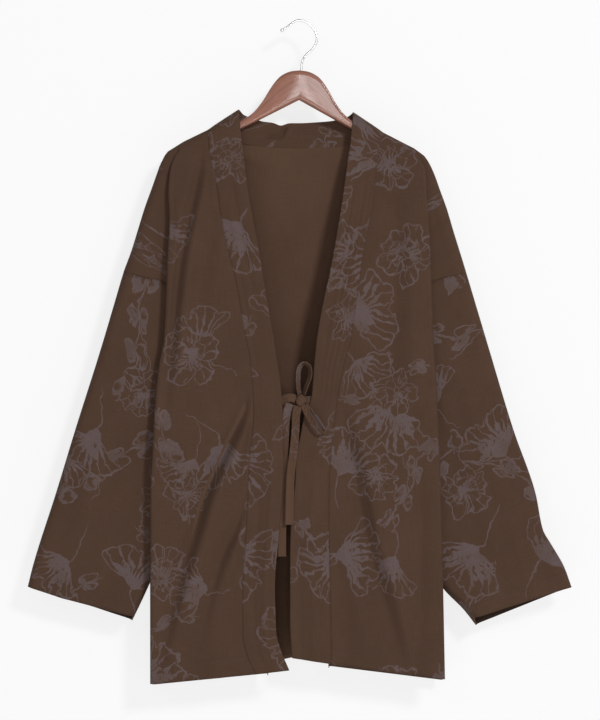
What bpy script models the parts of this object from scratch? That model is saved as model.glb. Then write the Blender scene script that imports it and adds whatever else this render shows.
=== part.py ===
"""A haori jacket hanging on a wooden hanger.

Frame, in metres: the origin is the inside top of the hook's bend, +Z is up, the jacket's front faces -Y
and +X is the wearer's left. Every table is in millimetres. In the tables "w" is the distance outward
from the middle line, "drop" the distance below the origin and "depth" the distance from the jacket's
middle plane, forward on the fronts and rearward on the back. A station k runs down a body panel: 0 at
the shoulder line, 1 at the underarm, 2 at the hem.
"""
import math
from bisect import bisect_right

import bmesh
import bpy
from mathutils import Quaternion, Vector

MM = 0.001

# ---------------------------------------------------------------- cloth
WALL = 1.4            # thickness of one layer of the cloth
BAND_WALL = 2.4       # the collar band is folded double
TIE_WALL = 1.2        # a tie is a narrow flat tube, pressed
SEAM_GAP = 0.4        # between the middles of two edges that are sewn together
PLANE_EDGE = 0.5      # how far an edge stops short of the jacket's middle plane
MIN_TURN = 1.5        # smallest radius of a fold's turn
RETURN_LEAN = 0.4     # the returning layer is this much deeper at the fold and shallower at the pleat
FOLD_STARTS = .03     # the station where a body panel starts to fold over itself
NECK_ENDS = .15       # the station below which the back's points no longer follow its neck edge
BAND_STANDS_OUT = 1.2         # the band's free edge lies this far in front of its sewn edge
SIDE_SEAM_ROUNDING = 0.25     # radius of the side seam's corner as a share of its depth

RIGHT, LEFT = -1, 1   # the wearer's sides, as signs of X
FRONT, BACK = -1, 1   # as signs of Y

UNDERARM_DROP = 469
SHOULDER_DROP = {RIGHT: 160, LEFT: 164}     # where the collar seam crosses the shoulder line
FRONT_HEM_DROP = {RIGHT: 958, LEFT: 943}    # at the collar seam
FOLD_HEM_DROP = {RIGHT: 972, LEFT: 965}     # at the body's outer fold
PLEAT_HEM_DROP = {RIGHT: 955, LEFT: 944}    # at the side seam, inside the body
BACK_HEM_EXTRA = 8                          # the back hangs lower than the fronts
BACK_HEM_MIDDLE = 938
BAND_HEM_DROP = {RIGHT: 952, LEFT: 934}     # at the band's free edge

# Stations that carry a row of points: close together where the cloth turns over the hanger.
UPPER_STATIONS = (0, .005, .016, .03, .045, .06, .09, .15, .25, .40, .58, .78, 1)
LOWER_STATIONS = (1.11, 1.2, 1.3, 1.42, 1.56, 1.70, 1.84, 2)
FIRST_BAND_STATION = .06     # above it the band turns over the hanger

# Shares and angles at which the sections are read.
QUARTERS = (.25, .5, .75)
FACE_SHARES = (0, .12, .25, .38, .5, .62, .72, .8, .88, .95)
RIM_SHARES = (1, .5, .13, 0)
TURN_ANGLES = (0, 45, 90, 135, 180)
DIAGONAL = 1 - math.sqrt(.5)     # from a corner to the middle of its rounding, in radii


class Table:
    """Rows of named columns, read between the rows on a smooth curve that never overshoots them."""

    def __init__(self, names, rows):
        self.keys = [row[0] for row in rows]
        self.values = {name: [row[i] for row in rows] for i, name in enumerate(names.split())}
        self.slopes = {name: self._slopes(values) for name, values in self.values.items()}

    def _slopes(self, values):
        steps = [(b - a) / (q - p) for a, b, p, q in
                 zip(values, values[1:], self.keys, self.keys[1:])]
        inner = [2 * a * b / (a + b) if a * b > 0 else 0.0 for a, b in zip(steps, steps[1:])]
        return [steps[0]] + inner + [steps[-1]]

    def __call__(self, name, key):
        keys, values, slopes = self.keys, self.values[name], self.slopes[name]
        key = min(max(key, keys[0]), keys[-1])
        i = min(max(bisect_right(keys, key) - 1, 0), len(keys) - 2)
        span = keys[i + 1] - keys[i]
        t = (key - keys[i]) / span
        rise = t * t * (3 - 2 * t)
        return (values[i] + (values[i + 1] - values[i]) * rise
                + span * (slopes[i] * t * (1 - t) ** 2 - slopes[i + 1] * t * t * (1 - t)))


# How deep each layer of a side lies at a station: the panel at the collar seam and at its outer fold,
# the layer that returns inward behind it, and the sleeve's layer inside that.
DEPTHS = Table("k seam fold return sleeve", [
    (0.000, 0.5, 0.5, 0.5, 0.5),
    (0.005, 4.8, 4.8, 4.8, 4.8),
    (0.016, 7.8, 7.8, 7.8, 7.8),
    (0.030, 8.8, 10.6, 9.4, 8.2),
    (0.060, 9.8, 14.8, 11.8, 8.8),
    (0.090, 11.2, 17.6, 13.5, 9.4),
    (0.150, 14.0, 21.0, 16.0, 10.5),
    (0.250, 18.0, 25.0, 18.5, 12.0),
    (0.500, 25.0, 31.0, 23.0, 13.0),
    (0.800, 29.0, 34.0, 25.0, 13.0),
    (1.000, 30.0, 35.0, 26.0, 13.0),
    (1.500, 31.0, 35.0, 26.0, 13.0),
    (1.800, 30.0, 33.0, 24.0, 11.0),
    (2.000, 29.0, 32.0, 22.5, 10.0)])

# The outer fold of a body panel and the pleat line that its cloth returns to.
FOLDS = {
    RIGHT: Table("k fold_w fold_drop pleat_w pleat_drop", [
        (0.00, 169, 177, 174, 180),
        (0.03, 174, 188, 178, 190),
        (0.06, 180, 198, 176, 200),
        (0.09, 185, 208, 172, 209),
        (0.15, 189, 225, 162, 228),
        (0.25, 191, 251, 147, 257),
        (0.40, 189, 295, 127, 301),
        (0.60, 192, 354, 99, 360),
        (0.80, 194, 412, 72, 416),
        (1.00, 197, 469, 46, 469),
        (1.06, 203, 499, 46, 499),
        (1.14, 208, 540, 46, 539),
        (1.33, 214, 637, 46, 633),
        (1.46, 217, 703, 46, 698),
        (2.00, 217, FOLD_HEM_DROP[RIGHT], 46, PLEAT_HEM_DROP[RIGHT])]),
    LEFT: Table("k fold_w fold_drop pleat_w pleat_drop", [
        (0.00, 165, 185, 169, 187),
        (0.03, 170, 193, 174, 196),
        (0.06, 177, 202, 172, 204),
        (0.09, 180, 209, 168, 211),
        (0.15, 185, 223, 159, 229),
        (0.25, 186, 251, 145, 257),
        (0.40, 189, 295, 125, 301),
        (0.60, 192, 354, 97, 360),
        (0.80, 194, 412, 71, 416),
        (1.00, 196, 469, 44, 469),
        (1.12, 200, 529, 44, 527),
        (1.36, 205, 649, 44, 644),
        (1.54, 208, 738, 44, 731),
        (2.00, 213, FOLD_HEM_DROP[LEFT], 44, PLEAT_HEM_DROP[LEFT])])}

# The outer rim, where front and back meet from the hanger's tip to the top of the sleeve.
RIMS = {
    RIGHT: Table("k rim_w rim_drop", [
        (0.00, 193, 192), (0.03, 198, 199), (0.06, 201, 205), (0.09, 204, 211), (0.15, 208, 222),
        (0.25, 216, 245), (0.40, 227, 276), (0.60, 237, 309), (0.80, 247, 341), (1.00, 258, 369)]),
    LEFT: Table("k rim_w rim_drop", [
        (0.00, 184, 198), (0.03, 189, 205), (0.06, 192, 210), (0.09, 195, 216), (0.15, 200, 228),
        (0.25, 207, 248), (0.40, 217, 276), (0.60, 227, 310), (0.80, 237, 342), (1.00, 246, 370)])}

# The collar seam and the band's free edge down the front.
OPENINGS = {
    RIGHT: Table("drop seam_w free_w", [
        (160, 134, 88), (178, 133, 84), (241, 121, 76), (294, 113, 67), (331, 105, 60),
        (398, 89, 49), (454, 80, 39), (499, 71, 32), (534, 68, 27), (572, 66, 24), (647, 72, 23),
        (686, 74, 24), (764, 78, 30), (834, 82, 35), (902, 82, 33), (926, 77, 27), (958, 63, 14)]),
    LEFT: Table("drop seam_w free_w", [
        (164, 124, 79), (189, 116, 74), (253, 110, 65), (350, 92, 49), (421, 82, 34), (468, 75, 26),
        (507, 64, 22), (555, 55, 18), (581, 52, 8), (612, 48, 2), (638, 46, -4), (686, 43, -6),
        (727, 43, -11), (799, 44, -13), (889, 46, -13), (943, 47, -10)])}

# The band from the shoulder line round the back neck to the middle: its sewn edge and its free edge.
# The rows over the hanger share their sewn edge with the first stations of the front.
NECKS = {
    RIGHT: [  # seam_w, seam_drop, seam_y, free_w, free_drop, free_y
        (133.5, 161.5, 5.2, 86, 132, 5.5),
        (129.5, 167, 9.0, 82, 136, 10.5),
        (112, 174, 10.2, 69, 141, 13.5),
        (87, 179, 12.0, 50, 146, 18.0),
        (50, 183, 14.5, 27, 147, 24.0)],
    LEFT: [
        (123.5, 165, 5.4, 79, 134, 5.5),
        (119.5, 170, 9.0, 74, 138, 10.5),
        (108, 176, 10.2, 63, 142, 13.5),
        (85, 180, 12.0, 46, 145, 18.0),
        (50, 183, 14.5, 27, 146, 24.0)]}
NECK_MIDDLE = (0, 185, 16.0, 0, 147, 28.0)
# The band's free edge as it turns over the hanger: how far outward of its place at the first band
# station it lies, and how high above the sewn edge.
OVER_ARM = [  # k, free_out, free_rise, free_depth
    (0.030, 2, 11, 9.6),
    (0.016, 3, 18, 8.8),
    (0.005, 4, 25, 5.5),
    (0.000, 4, 30, 0.0)]

# Soft folds that stand out of a panel (height above 0) or sink into it, each down a line.
CREASES = {
    (RIGHT, FRONT): [
        (13, Table("drop w height", [(200, 140, 0), (260, 150, -1.5), (340, 161, -3), (450, 178, -4),
                                     (540, 188, -3), (600, 192, 0)])),
        (15, Table("drop w height", [(600, 84, 0), (660, 116, 4), (710, 134, 5), (783, 156, 5),
                                     (874, 180, 4), (940, 202, 2)])),
        (13, Table("drop w height", [(640, 84, 0), (700, 106, -3), (790, 128, -4), (890, 150, -2),
                                     (950, 160, 0)]))],
    (LEFT, FRONT): [
        (16, Table("drop w height", [(540, 74, 0), (600, 66, 3), (724, 52, 4), (800, 76, 3),
                                     (880, 108, 0)])),
        (18, Table("drop w height", [(240, 128, 0), (340, 130, -3), (480, 122, -3), (620, 118, 0)])),
        (16, Table("drop w height", [(620, 150, 0), (720, 156, -3), (860, 150, -3), (960, 146, -1)]))],
    (RIGHT, BACK): [
        (17, Table("drop w height", [(200, 132, 0), (330, 140, -3), (520, 152, -4), (680, 150, 0)])),
        (20, Table("drop w height", [(560, 60, 0), (700, 72, 4), (860, 84, 5), (980, 92, 3)]))],
    (LEFT, BACK): [
        (18, Table("drop w height", [(210, 120, 0), (360, 128, -4), (520, 140, -3), (640, 142, 0)])),
        (20, Table("drop w height", [(520, 96, 0), (680, 104, 4), (840, 112, 4), (970, 120, 3)]))]}

# Each sleeve from the armhole (s 0) to the cuff (s 1).
SLEEVES = {
    RIGHT: Table("s outer_w outer_drop inner_w inner_drop half_depth", [
        (0.00, 258, 369, 54, 466, 13.0),
        (0.25, 292, 484, 102, 570, 12.5),
        (0.50, 329, 601, 150, 674, 11.5),
        (0.70, 357, 693, 188, 757, 11.0),
        (0.93, 391, 800, 232, 853, 10.0),
        (1.00, 399, 832, 246, 882, 9.5)]),
    LEFT: Table("s outer_w outer_drop inner_w inner_drop half_depth", [
        (0.00, 246, 370, 53, 466, 13.0),
        (0.25, 280, 484, 95, 572, 12.5),
        (0.50, 315, 600, 138, 678, 11.5),
        (0.70, 348, 695, 175, 762, 11.0),
        (0.82, 359, 749, 200, 813, 11.0),
        (0.87, 371, 770, 212, 834, 10.5),
        (0.94, 390, 803, 243, 866, 10.0),
        (1.00, 401, 833, 261, 889, 10.5)])}
SLEEVE_STATIONS = (0, .08, .2, .34, .48, .6, .7, .78, .84, .9, .95, 1)
SLEEVE_SEAM_BOW = 14      # how far the armhole seam bows up between its ends

# ---------------------------------------------------------------- ties
# Routes down the middle of each strip; "face" is 0 where the strip faces forward and 90 edge on.
TIE_WIDTH = 12
TIE_ROUTES = {
    "tie_strap_right": [   # x, drop, y, face
        (-31.0, 560, -28.8, 0), (-24.4, 557.2, -29.0, 0), (-20.4, 555.4, -31.6, 0),
        (-16.0, 554, -34.8, 0), (-10.6, 553.4, -37.0, 0), (-4.7, 555.4, -38.2, 0)],
    "tie_strap_left": [
        (21.0, 557.5, -28.9, 0), (15.2, 557.5, -28.9, 0), (12.4, 557.5, -32.0, 0),
        (10.6, 557.5, -36.2, 0)],
    "tie_loop_upper": [
        (1.2, 548.3, -39.0, 84), (-0.6, 538, -40.5, 80), (-1.0, 524, -42.0, 72), (0.8, 510, -42.5, 66),
        (8.0, 503.6, -42.5, 64), (15.2, 509, -42.5, 66), (15.8, 522, -42.0, 72), (10.6, 537, -40.5, 80),
        (6.8, 548.8, -39.0, 84)],
    "tie_loop_lower": [
        (7.8, 563.6, -41.6, 8), (14, 575, -45.0, 10), (22, 587, -46.4, 12), (29.5, 598, -45.8, 12),
        (33.4, 603.6, -43.8, 12), (34.6, 605.4, -41.2, 12), (33.4, 603.6, -38.6, 12),
        (29.5, 598, -37.0, 12), (22, 587, -36.4, 12), (15, 577, -36.2, 12), (10.4, 570, -36.2, 12)],
    "tie_tail_right": [
        (-13.0, 562.6, -34.0, 0), (-17.0, 574, -30.6, 0), (-19.6, 592, -28.0, 0),
        (-20.8, 616, -27.2, 8), (-22.0, 661, -27.2, 12), (-23.4, 705, -27.2, 8), (-24.6, 745, -27.4, 0),
        (-25.0, 786, -27.6, 0)],
    "tie_tail_left": [
        (-1.4, 565.5, -38.6, 10), (-4.4, 580, -37.2, 14), (-5.2, 600, -36.2, 20), (-8.0, 632, -35.8, 12),
        (-12.0, 664, -35.8, 10), (-13.6, 705, -35.8, 6), (-14.0, 739, -36.0, 0)]}
KNOT_MIDDLE = (3.0, 557.2, -38.4)
KNOT_RADII = (7.6, 5.0, 9.0)

# ---------------------------------------------------------------- hanger
YOKE_THICKNESS = 12
YOKE_ROUNDING = 4.5
YOKE_TILT = math.radians(1.2)      # it hangs a little lower on the wearer's left
YOKE_PIVOT = (0.5, 95)             # w, drop
YOKE_HALF_TOP = [(0, 72), (14, 74), (27, 80.5), (36, 90), (44, 102), (54, 119), (67, 135.5),
                 (81, 145.5), (105, 155.5), (129, 165.7), (150, 175.7), (167, 184.2), (177, 190)]
YOKE_TIP = [(183, 195), (184, 199.5), (180.5, 203)]
YOKE_HALF_UNDER = [(174, 202), (150, 192), (129, 182), (105, 170.5), (81, 158.5), (40, 137), (0, 115.8)]
HOOK_WIRE = 1.8
HOOK_TIP_SWELL = 1.5
HOOK_ROUTE = [(-25, 13), (-18, 8.5), (-11, 3.2), (-4.5, -0.8), (1, -HOOK_WIRE), (7.5, -0.4), (14, 3.4),
              (20.5, 10), (25, 17.5), (26.4, 25), (25, 32.5), (21, 39), (15.5, 44.5), (9.5, 50),
              (6, 56), (4, 63), (3.4, 71.6)]

# ---------------------------------------------------------------- colours
CLOTH = (0.078, 0.047, 0.032)
BAND_CLOTH = (0.084, 0.051, 0.035)
TIE_CLOTH = (0.095, 0.064, 0.052)
WOOD = (0.24, 0.10, 0.055)
WIRE = (0.82, 0.82, 0.82)


def clear_scene():
    for thing in list(bpy.data.objects):
        bpy.data.objects.remove(thing, do_unlink=True)


def material(name, colour, roughness, metallic=0.0):
    made = bpy.data.materials.new(name)
    made.use_nodes = True
    shader = made.node_tree.nodes["Principled BSDF"]
    shader.inputs["Base Color"].default_value = (*colour, 1.0)
    shader.inputs["Roughness"].default_value = roughness
    shader.inputs["Metallic"].default_value = metallic
    made.diffuse_color = (*colour, 1.0)
    return made


def place(x, drop, y):
    """A point in metres from millimetres across, down and to the rear."""
    return Vector((x * MM, y * MM, -drop * MM))


def flat(w, drop):
    return Vector((w, drop))


# ---------------------------------------------------------------- sections of a body panel
def seam_drop(side, k):
    """The drop of the collar seam at a station."""
    if k <= 1:
        return SHOULDER_DROP[side] + (UNDERARM_DROP - SHOULDER_DROP[side]) * k
    return UNDERARM_DROP + (FRONT_HEM_DROP[side] - UNDERARM_DROP) * (k - 1)


def seam_point(side, k):
    drop = seam_drop(side, k)
    return flat(OPENINGS[side]("seam_w", drop), drop)


def crease_height(side, facing, w, drop):
    """How far the soft folds move a panel outward at a place."""
    height = 0.0
    for width, line in CREASES[side, facing]:
        if line.keys[0] < drop < line.keys[-1]:
            height += line("height", drop) * math.exp(-((w - line("w", drop)) / width) ** 2)
    return height


def turn(corner, first, second, first_depth, second_depth):
    """The half round that joins two layers at a fold, as (flat point, depth) pairs. "first" and
    "second" are points on the layers; the turn reaches at most a third of the way to them."""
    radius = max(abs(first_depth - second_depth) / 2, MIN_TURN)
    middle, half = (first_depth + second_depth) / 2, (first_depth - second_depth) / 2
    points = []
    for angle in TURN_ANGLES:
        toward = (first if angle < 90 else second) - corner
        share = min(radius / max(toward.length, MIN_TURN), 1 / 3)
        reach = toward * share * (1 - math.sin(math.radians(angle)))
        points.append((corner + reach, middle + half * math.cos(math.radians(angle))))
    return points


def run(start, end, shares):
    """Points on a straight layer between two (flat point, depth) pairs."""
    return [(start[0].lerp(end[0], share), start[1] + (end[1] - start[1]) * share)
            for share in shares]


def rounded_rim(start, rim, depth):
    """The end of a layer that curves in to the middle plane at an outer rim."""
    reach = max(depth, 2 * MIN_TURN)
    inward = (start - rim).normalized()
    points = []
    for share in RIM_SHARES:
        fall = math.sqrt(1 - (1 - share) ** 2)
        points.append((rim + inward * (share * reach), max(depth * fall, PLANE_EDGE)))
    return points


def armhole_bow(side, w):
    """How far the armhole seam lies above the straight line between its ends."""
    inner, outer = SLEEVES[side]("inner_w", 0), SLEEVES[side]("outer_w", 0)
    share = min(max((w - inner) / (outer - inner), 0), 1)
    return SLEEVE_SEAM_BOW * math.sin(math.pi * share)


def bowed(side, points, strength):
    return [(flat(p.x, p.y - strength * armhole_bow(side, p.x)), depth) for p, depth in points]


def return_lean(k):
    return RETURN_LEAN * min(k / FOLD_STARTS, 1)


def fold_turn(side, k, inner):
    """The body's outer fold at a station, from the panel's face to the layer behind it."""
    fold = flat(FOLDS[side]("fold_w", k), FOLDS[side]("fold_drop", k))
    pleat = flat(FOLDS[side]("pleat_w", k), FOLDS[side]("pleat_drop", k))
    return turn(fold, inner, pleat, DEPTHS("fold", k), DEPTHS("return", k) + return_lean(k))


def side_points(side, k, inner):
    """Everything outward of a panel's face: the fold, the return, the pleat, and the part out to the
    rim. Below the underarm the pleat ends at the side seam and nothing lies beyond it."""
    fold = flat(FOLDS[side]("fold_w", k), FOLDS[side]("fold_drop", k))
    pleat = flat(FOLDS[side]("pleat_w", k), FOLDS[side]("pleat_drop", k))
    points = fold_turn(side, k, inner)
    if k > 1:
        outward = (fold - pleat).normalized()
        depth = DEPTHS("return", k)
        radius = depth * SIDE_SEAM_ROUNDING
        inset = radius * DIAGONAL
        seam = [(pleat + outward * radius, depth), (pleat + outward * inset, depth - inset),
                (pleat, depth - radius), (pleat, depth / 2), (pleat, PLANE_EDGE)]
        return points + run(points[-1], seam[0], QUARTERS) + seam
    rim = flat(RIMS[side]("rim_w", k), RIMS[side]("rim_drop", k))
    sleeve_depth = DEPTHS("sleeve", k)
    pleat_turn = turn(pleat, fold, rim, DEPTHS("return", k) - return_lean(k), sleeve_depth)
    end = rounded_rim(pleat, rim, sleeve_depth)
    points += run(points[-1], pleat_turn[0], QUARTERS) + pleat_turn
    outer = run(pleat_turn[-1], end[0], QUARTERS) + end
    return points + bowed(side, outer, k * k)


def blended(first, second):
    """The larger of two depths, with a soft passage where they are alike."""
    return (first ** 4 + second ** 4) ** .25


def eased(share):
    """A share from 0 to 1 that starts and ends gently."""
    share = min(max(share, 0), 1)
    return share * share * (3 - 2 * share)


def creased(side, facing, points):
    return [(p, depth + crease_height(side, facing, p.x, p.y)) for p, depth in points]


def front_row(side, k):
    """A front's points at a station, from the collar seam out."""
    inner = seam_point(side, k) + flat(SEAM_GAP / 2, 0)
    rest = side_points(side, k, inner)
    face = run((inner, DEPTHS("seam", k)), rest[0], FACE_SHARES)
    return [place(side * p.x, p.y, FRONT * depth)
            for p, depth in creased(side, FRONT, face) + rest]


def back_half(side):
    """The top of the back from its outer fold to beside the middle, as (w, drop, y)."""
    start = fold_turn(side, 0, seam_point(side, 0))[0][0]
    corner = seam_point(side, 0) + flat(SEAM_GAP / 2, 0)
    ridge = [start.lerp(corner, share) for share in QUARTERS + (1,)]
    return [(p.x, p.y, PLANE_EDGE) for p in ridge] + [row[:3] for row in NECKS[side]]


def back_face(side, k):
    """The back's points at a station from just inside its fold to beside the middle."""
    tops = back_half(side)
    fold, fold_depth = fold_turn(side, k, flat(0, FOLDS[side]("fold_drop", k)))[0]
    fold_top = FOLDS[side]("fold_drop", 0)
    spread = eased(k / NECK_ENDS)
    points = []
    for i, (top_w, top_drop, top_y) in enumerate(tops):
        share = 1 - (i + 1) / (len(tops) + 1)
        w = top_w + (share * fold.x - top_w) * spread
        if k <= 1:
            bend = FOLDS[side]("fold_drop", k) - fold_top - (UNDERARM_DROP - fold_top) * k
            drop = top_drop + (UNDERARM_DROP - top_drop) * k + bend * share
        else:
            hem = BACK_HEM_MIDDLE + (FOLD_HEM_DROP[side] + BACK_HEM_EXTRA - BACK_HEM_MIDDLE) * share
            drop = UNDERARM_DROP + (hem - UNDERARM_DROP) * (k - 1)
        hung = DEPTHS("seam", k) + (DEPTHS("fold", k) - DEPTHS("seam", k)) * share
        depth = blended(hung, top_y) if k else top_y
        points.append((flat(w, drop), depth))
    return points


def back_row(k):
    """The back's points at a station, from the right rim across to the left rim."""
    halves = []
    for side in (RIGHT, LEFT):
        outer = side_points(side, k, flat(0, FOLDS[side]("fold_drop", k)))
        if k > 1:
            lower = BACK_HEM_EXTRA * (k - 1)
            outer = [(p + flat(0, lower), depth) for p, depth in outer]
        half = list(reversed(outer)) + creased(side, BACK, back_face(side, k))
        halves.append([place(side * p.x, p.y, BACK * depth) for p, depth in half])
    _, top_drop, top_y = NECK_MIDDLE[:3]
    if k <= 1:
        drop = top_drop + (UNDERARM_DROP - top_drop) * k
    else:
        drop = UNDERARM_DROP + (BACK_HEM_MIDDLE - UNDERARM_DROP) * (k - 1)
    depth = blended(DEPTHS("seam", k), top_y) if k else top_y
    return halves[0] + [place(0, drop, depth)] + list(reversed(halves[1]))


# ---------------------------------------------------------------- the other pieces' sections
def band_rows():
    """The collar band's stations as (sewn edge, free edge), right hem to left hem."""
    sides = {}
    for side in (RIGHT, LEFT):
        rows = []
        for k in reversed([k for k in UPPER_STATIONS + LOWER_STATIONS if k >= FIRST_BAND_STATION]):
            seam = seam_point(side, k) - flat(SEAM_GAP / 2, 0)
            depth = DEPTHS("seam", k)
            free_drop = seam.y + (BAND_HEM_DROP[side] - FRONT_HEM_DROP[side]) * max(k - 1, 0)
            free_w = OPENINGS[side]("free_w", seam.y)
            rows.append((place(side * seam.x, seam.y, -depth),
                         place(side * free_w, free_drop, -depth - BAND_STANDS_OUT)))
        for k, free_out, free_rise, free_depth in OVER_ARM:
            seam = seam_point(side, k) - flat(SEAM_GAP / 2, 0)
            free_w = OPENINGS[side]("free_w", seam_drop(side, FIRST_BAND_STATION)) + free_out
            rows.append((place(side * seam.x, seam.y, -DEPTHS("seam", k) if k else 0),
                         place(side * free_w, seam.y - free_rise, -free_depth)))
        for seam_w, drop, y, free_w, free_drop, free_y in NECKS[side]:
            rows.append((place(side * (seam_w - SEAM_GAP), drop - SEAM_GAP, y),
                         place(side * free_w, free_drop, free_y)))
        sides[side] = rows
    seam_w, drop, y, free_w, free_drop, free_y = NECK_MIDDLE
    middle = (place(seam_w, drop - SEAM_GAP, y), place(free_w, free_drop, free_y))
    return sides[RIGHT] + [middle] + list(reversed(sides[LEFT]))


def sleeve_ring(side, s):
    """A sleeve's points at a station, once round: front from the underarm out, back again behind."""
    table = SLEEVES[side]
    top_gap = flat(0, SEAM_GAP)
    outer = flat(table("outer_w", s), table("outer_drop", s)) + top_gap
    inner = flat(table("inner_w", s), table("inner_drop", s)) + top_gap
    depth = table("half_depth", s)
    end = rounded_rim(inner, outer, depth)
    start = list(reversed(rounded_rim(outer, inner, depth)))
    pleat = flat(FOLDS[side]("pleat_w", 1), UNDERARM_DROP)
    armhole = turn(pleat, outer, outer, DEPTHS("return", 1) - RETURN_LEAN, DEPTHS("sleeve", 1))[-1][0]
    middles = []
    for share in QUARTERS:
        at_top = armhole.lerp(end[0][0], share)
        middles.append((at_top.lerp(start[-1][0].lerp(end[0][0], share), min(s * 4, 1)), depth))
    front = bowed(side, start + middles + end, (1 - s) ** 2)
    front[0] = (front[0][0], 0.0)
    front[-1] = (front[-1][0], 0.0)
    ring = [place(side * p.x, p.y, -d) for p, d in front]
    return ring + [place(side * p.x, p.y, d) for p, d in reversed(front[1:-1])]


def smooth_route(points, steps):
    """A smooth curve through hand-placed points (Catmull-Rom), as tuples."""
    out = []
    for i in range(len(points) - 1):
        before, a = points[max(i - 1, 0)], points[i]
        b, after = points[i + 1], points[min(i + 2, len(points) - 1)]
        for n in range(steps):
            t = n / steps
            out.append(tuple(
                .5 * (2 * q + (r - p) * t + (2 * p - 5 * q + 4 * r - u) * t * t
                      + (3 * q - p - 3 * r + u) * t ** 3)
                for p, q, r, u in zip(before, a, b, after)))
    return out + [tuple(points[-1])]


def tie_rows(route):
    """A strip's points across at each place down its route. Its width is carried along the route, so
    the strip folds over a turn and twists only where "face" changes."""
    points = smooth_route(route, 2)
    across, face_before, rows = None, 0.0, []
    for i, (x, drop, y, face) in enumerate(points):
        ahead, behind = points[min(i + 1, len(points) - 1)], points[max(i - 1, 0)]
        along = (place(*ahead[:3]) - place(*behind[:3])).normalized()
        if across is None:
            across = along.cross(Vector((0, 1, 0)))
        across = (across - along * across.dot(along)).normalized()
        across.rotate(Quaternion(along, math.radians(face - face_before)))
        face_before = face
        middle, reach = place(x, drop, y), across * (TIE_WIDTH / 2 * MM)
        rows.append([middle - reach, middle, middle + reach])
    return rows


# ---------------------------------------------------------------- building
def cloth(collection, name, rows, surface, wall, closed=False, centred=False):
    """A piece of cloth: a grid of points, row by row, given its thickness. A row that is shorter than
    another starts with it, or is centred on it where the cut narrows on both sides."""
    width = max(len(row) for row in rows)
    bm = bmesh.new()
    grid = []
    for row in rows:
        lead = (width - len(row)) // 2 if centred else 0
        grid.append([None] * lead + [bm.verts.new(p) for p in row] + [None] * (width - len(row) - lead))
    last = width if closed else width - 1
    for upper, lower in zip(grid, grid[1:]):
        for i in range(last):
            corners = (upper[i], lower[i], lower[(i + 1) % width], upper[(i + 1) % width])
            if all(corners):
                bm.faces.new(corners)
    mesh = bpy.data.meshes.new(name)
    bm.to_mesh(mesh)
    bm.free()
    piece = bpy.data.objects.new(name, mesh)
    collection.objects.link(piece)
    mesh.materials.append(surface)
    thickness = piece.modifiers.new("thickness", "SOLIDIFY")
    thickness.thickness = wall * MM
    thickness.offset = 0
    return piece


def build_fronts(collection, surface):
    for side, name in ((RIGHT, "front_right"), (LEFT, "front_left")):
        rows = [front_row(side, k) for k in UPPER_STATIONS + LOWER_STATIONS]
        cloth(collection, name, rows, surface, WALL)


def build_back(collection, surface):
    rows = [back_row(k) for k in UPPER_STATIONS + LOWER_STATIONS]
    cloth(collection, "back_panel", rows, surface, WALL, centred=True)


def build_sleeves(collection, surface):
    for side, name in ((RIGHT, "sleeve_right"), (LEFT, "sleeve_left")):
        rows = [sleeve_ring(side, s) for s in SLEEVE_STATIONS]
        cloth(collection, name, rows, surface, WALL, closed=True)


def build_band(collection, surface):
    rows = [[seam.lerp(free, share) for share in (0, .5, 1)] for seam, free in band_rows()]
    cloth(collection, "collar_band", rows, surface, BAND_WALL)


def build_ties(collection, surface):
    for name, route in TIE_ROUTES.items():
        cloth(collection, name, tie_rows(route), surface, TIE_WALL)
    bm = bmesh.new()
    bmesh.ops.create_uvsphere(bm, u_segments=14, v_segments=8, radius=MM)
    mesh = bpy.data.meshes.new("tie_knot")
    bm.to_mesh(mesh)
    bm.free()
    knot = bpy.data.objects.new("tie_knot", mesh)
    knot.location = place(*KNOT_MIDDLE)
    knot.scale = KNOT_RADII
    mesh.materials.append(surface)
    collection.objects.link(knot)


def curve_object(collection, name, points, surface, dimensions, cyclic):
    curve = bpy.data.curves.new(name, "CURVE")
    curve.dimensions = dimensions
    spline = curve.splines.new("POLY")
    spline.points.add(len(points) - 1)
    for target, point in zip(spline.points, points):
        target.co = (*point, 1)
    spline.use_cyclic_u = cyclic
    curve.materials.append(surface)
    piece = bpy.data.objects.new(name, curve)
    collection.objects.link(piece)
    return piece


def build_yoke(collection, surface):
    """The wooden yoke, an upright plate with rounded edges."""
    right_half = (smooth_route(YOKE_HALF_TOP, 2) + YOKE_TIP + smooth_route(YOKE_HALF_UNDER, 1))
    outline = right_half + [(-w, drop) for w, drop in reversed(right_half[1:-1])]
    pivot_w, pivot_drop = YOKE_PIVOT
    points = []
    for w, drop in outline:
        across, down = w, drop - pivot_drop
        x = pivot_w + across * math.cos(YOKE_TILT) - down * math.sin(YOKE_TILT)
        z = pivot_drop + down * math.cos(YOKE_TILT) + across * math.sin(YOKE_TILT)
        points.append((x * MM, -z * MM, 0))
    piece = curve_object(collection, "hanger_yoke", points, surface, "2D", True)
    piece.data.fill_mode = "BOTH"
    piece.data.extrude = (YOKE_THICKNESS / 2 - YOKE_ROUNDING) * MM
    piece.data.bevel_depth = YOKE_ROUNDING * MM
    piece.data.bevel_resolution = 2
    piece.data.offset = -YOKE_ROUNDING * MM
    piece.rotation_euler = (math.radians(90), 0, 0)


def build_hook(collection, surface):
    points = [place(x, drop, 0) for x, drop in smooth_route(HOOK_ROUTE, 2)]
    piece = curve_object(collection, "hanger_hook", points, surface, "3D", False)
    piece.data.bevel_depth = HOOK_WIRE * MM
    piece.data.bevel_resolution = 2
    piece.data.use_fill_caps = True
    piece.data.splines[0].points[0].radius = HOOK_TIP_SWELL
    piece.data.splines[0].points[1].radius = HOOK_TIP_SWELL


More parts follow.
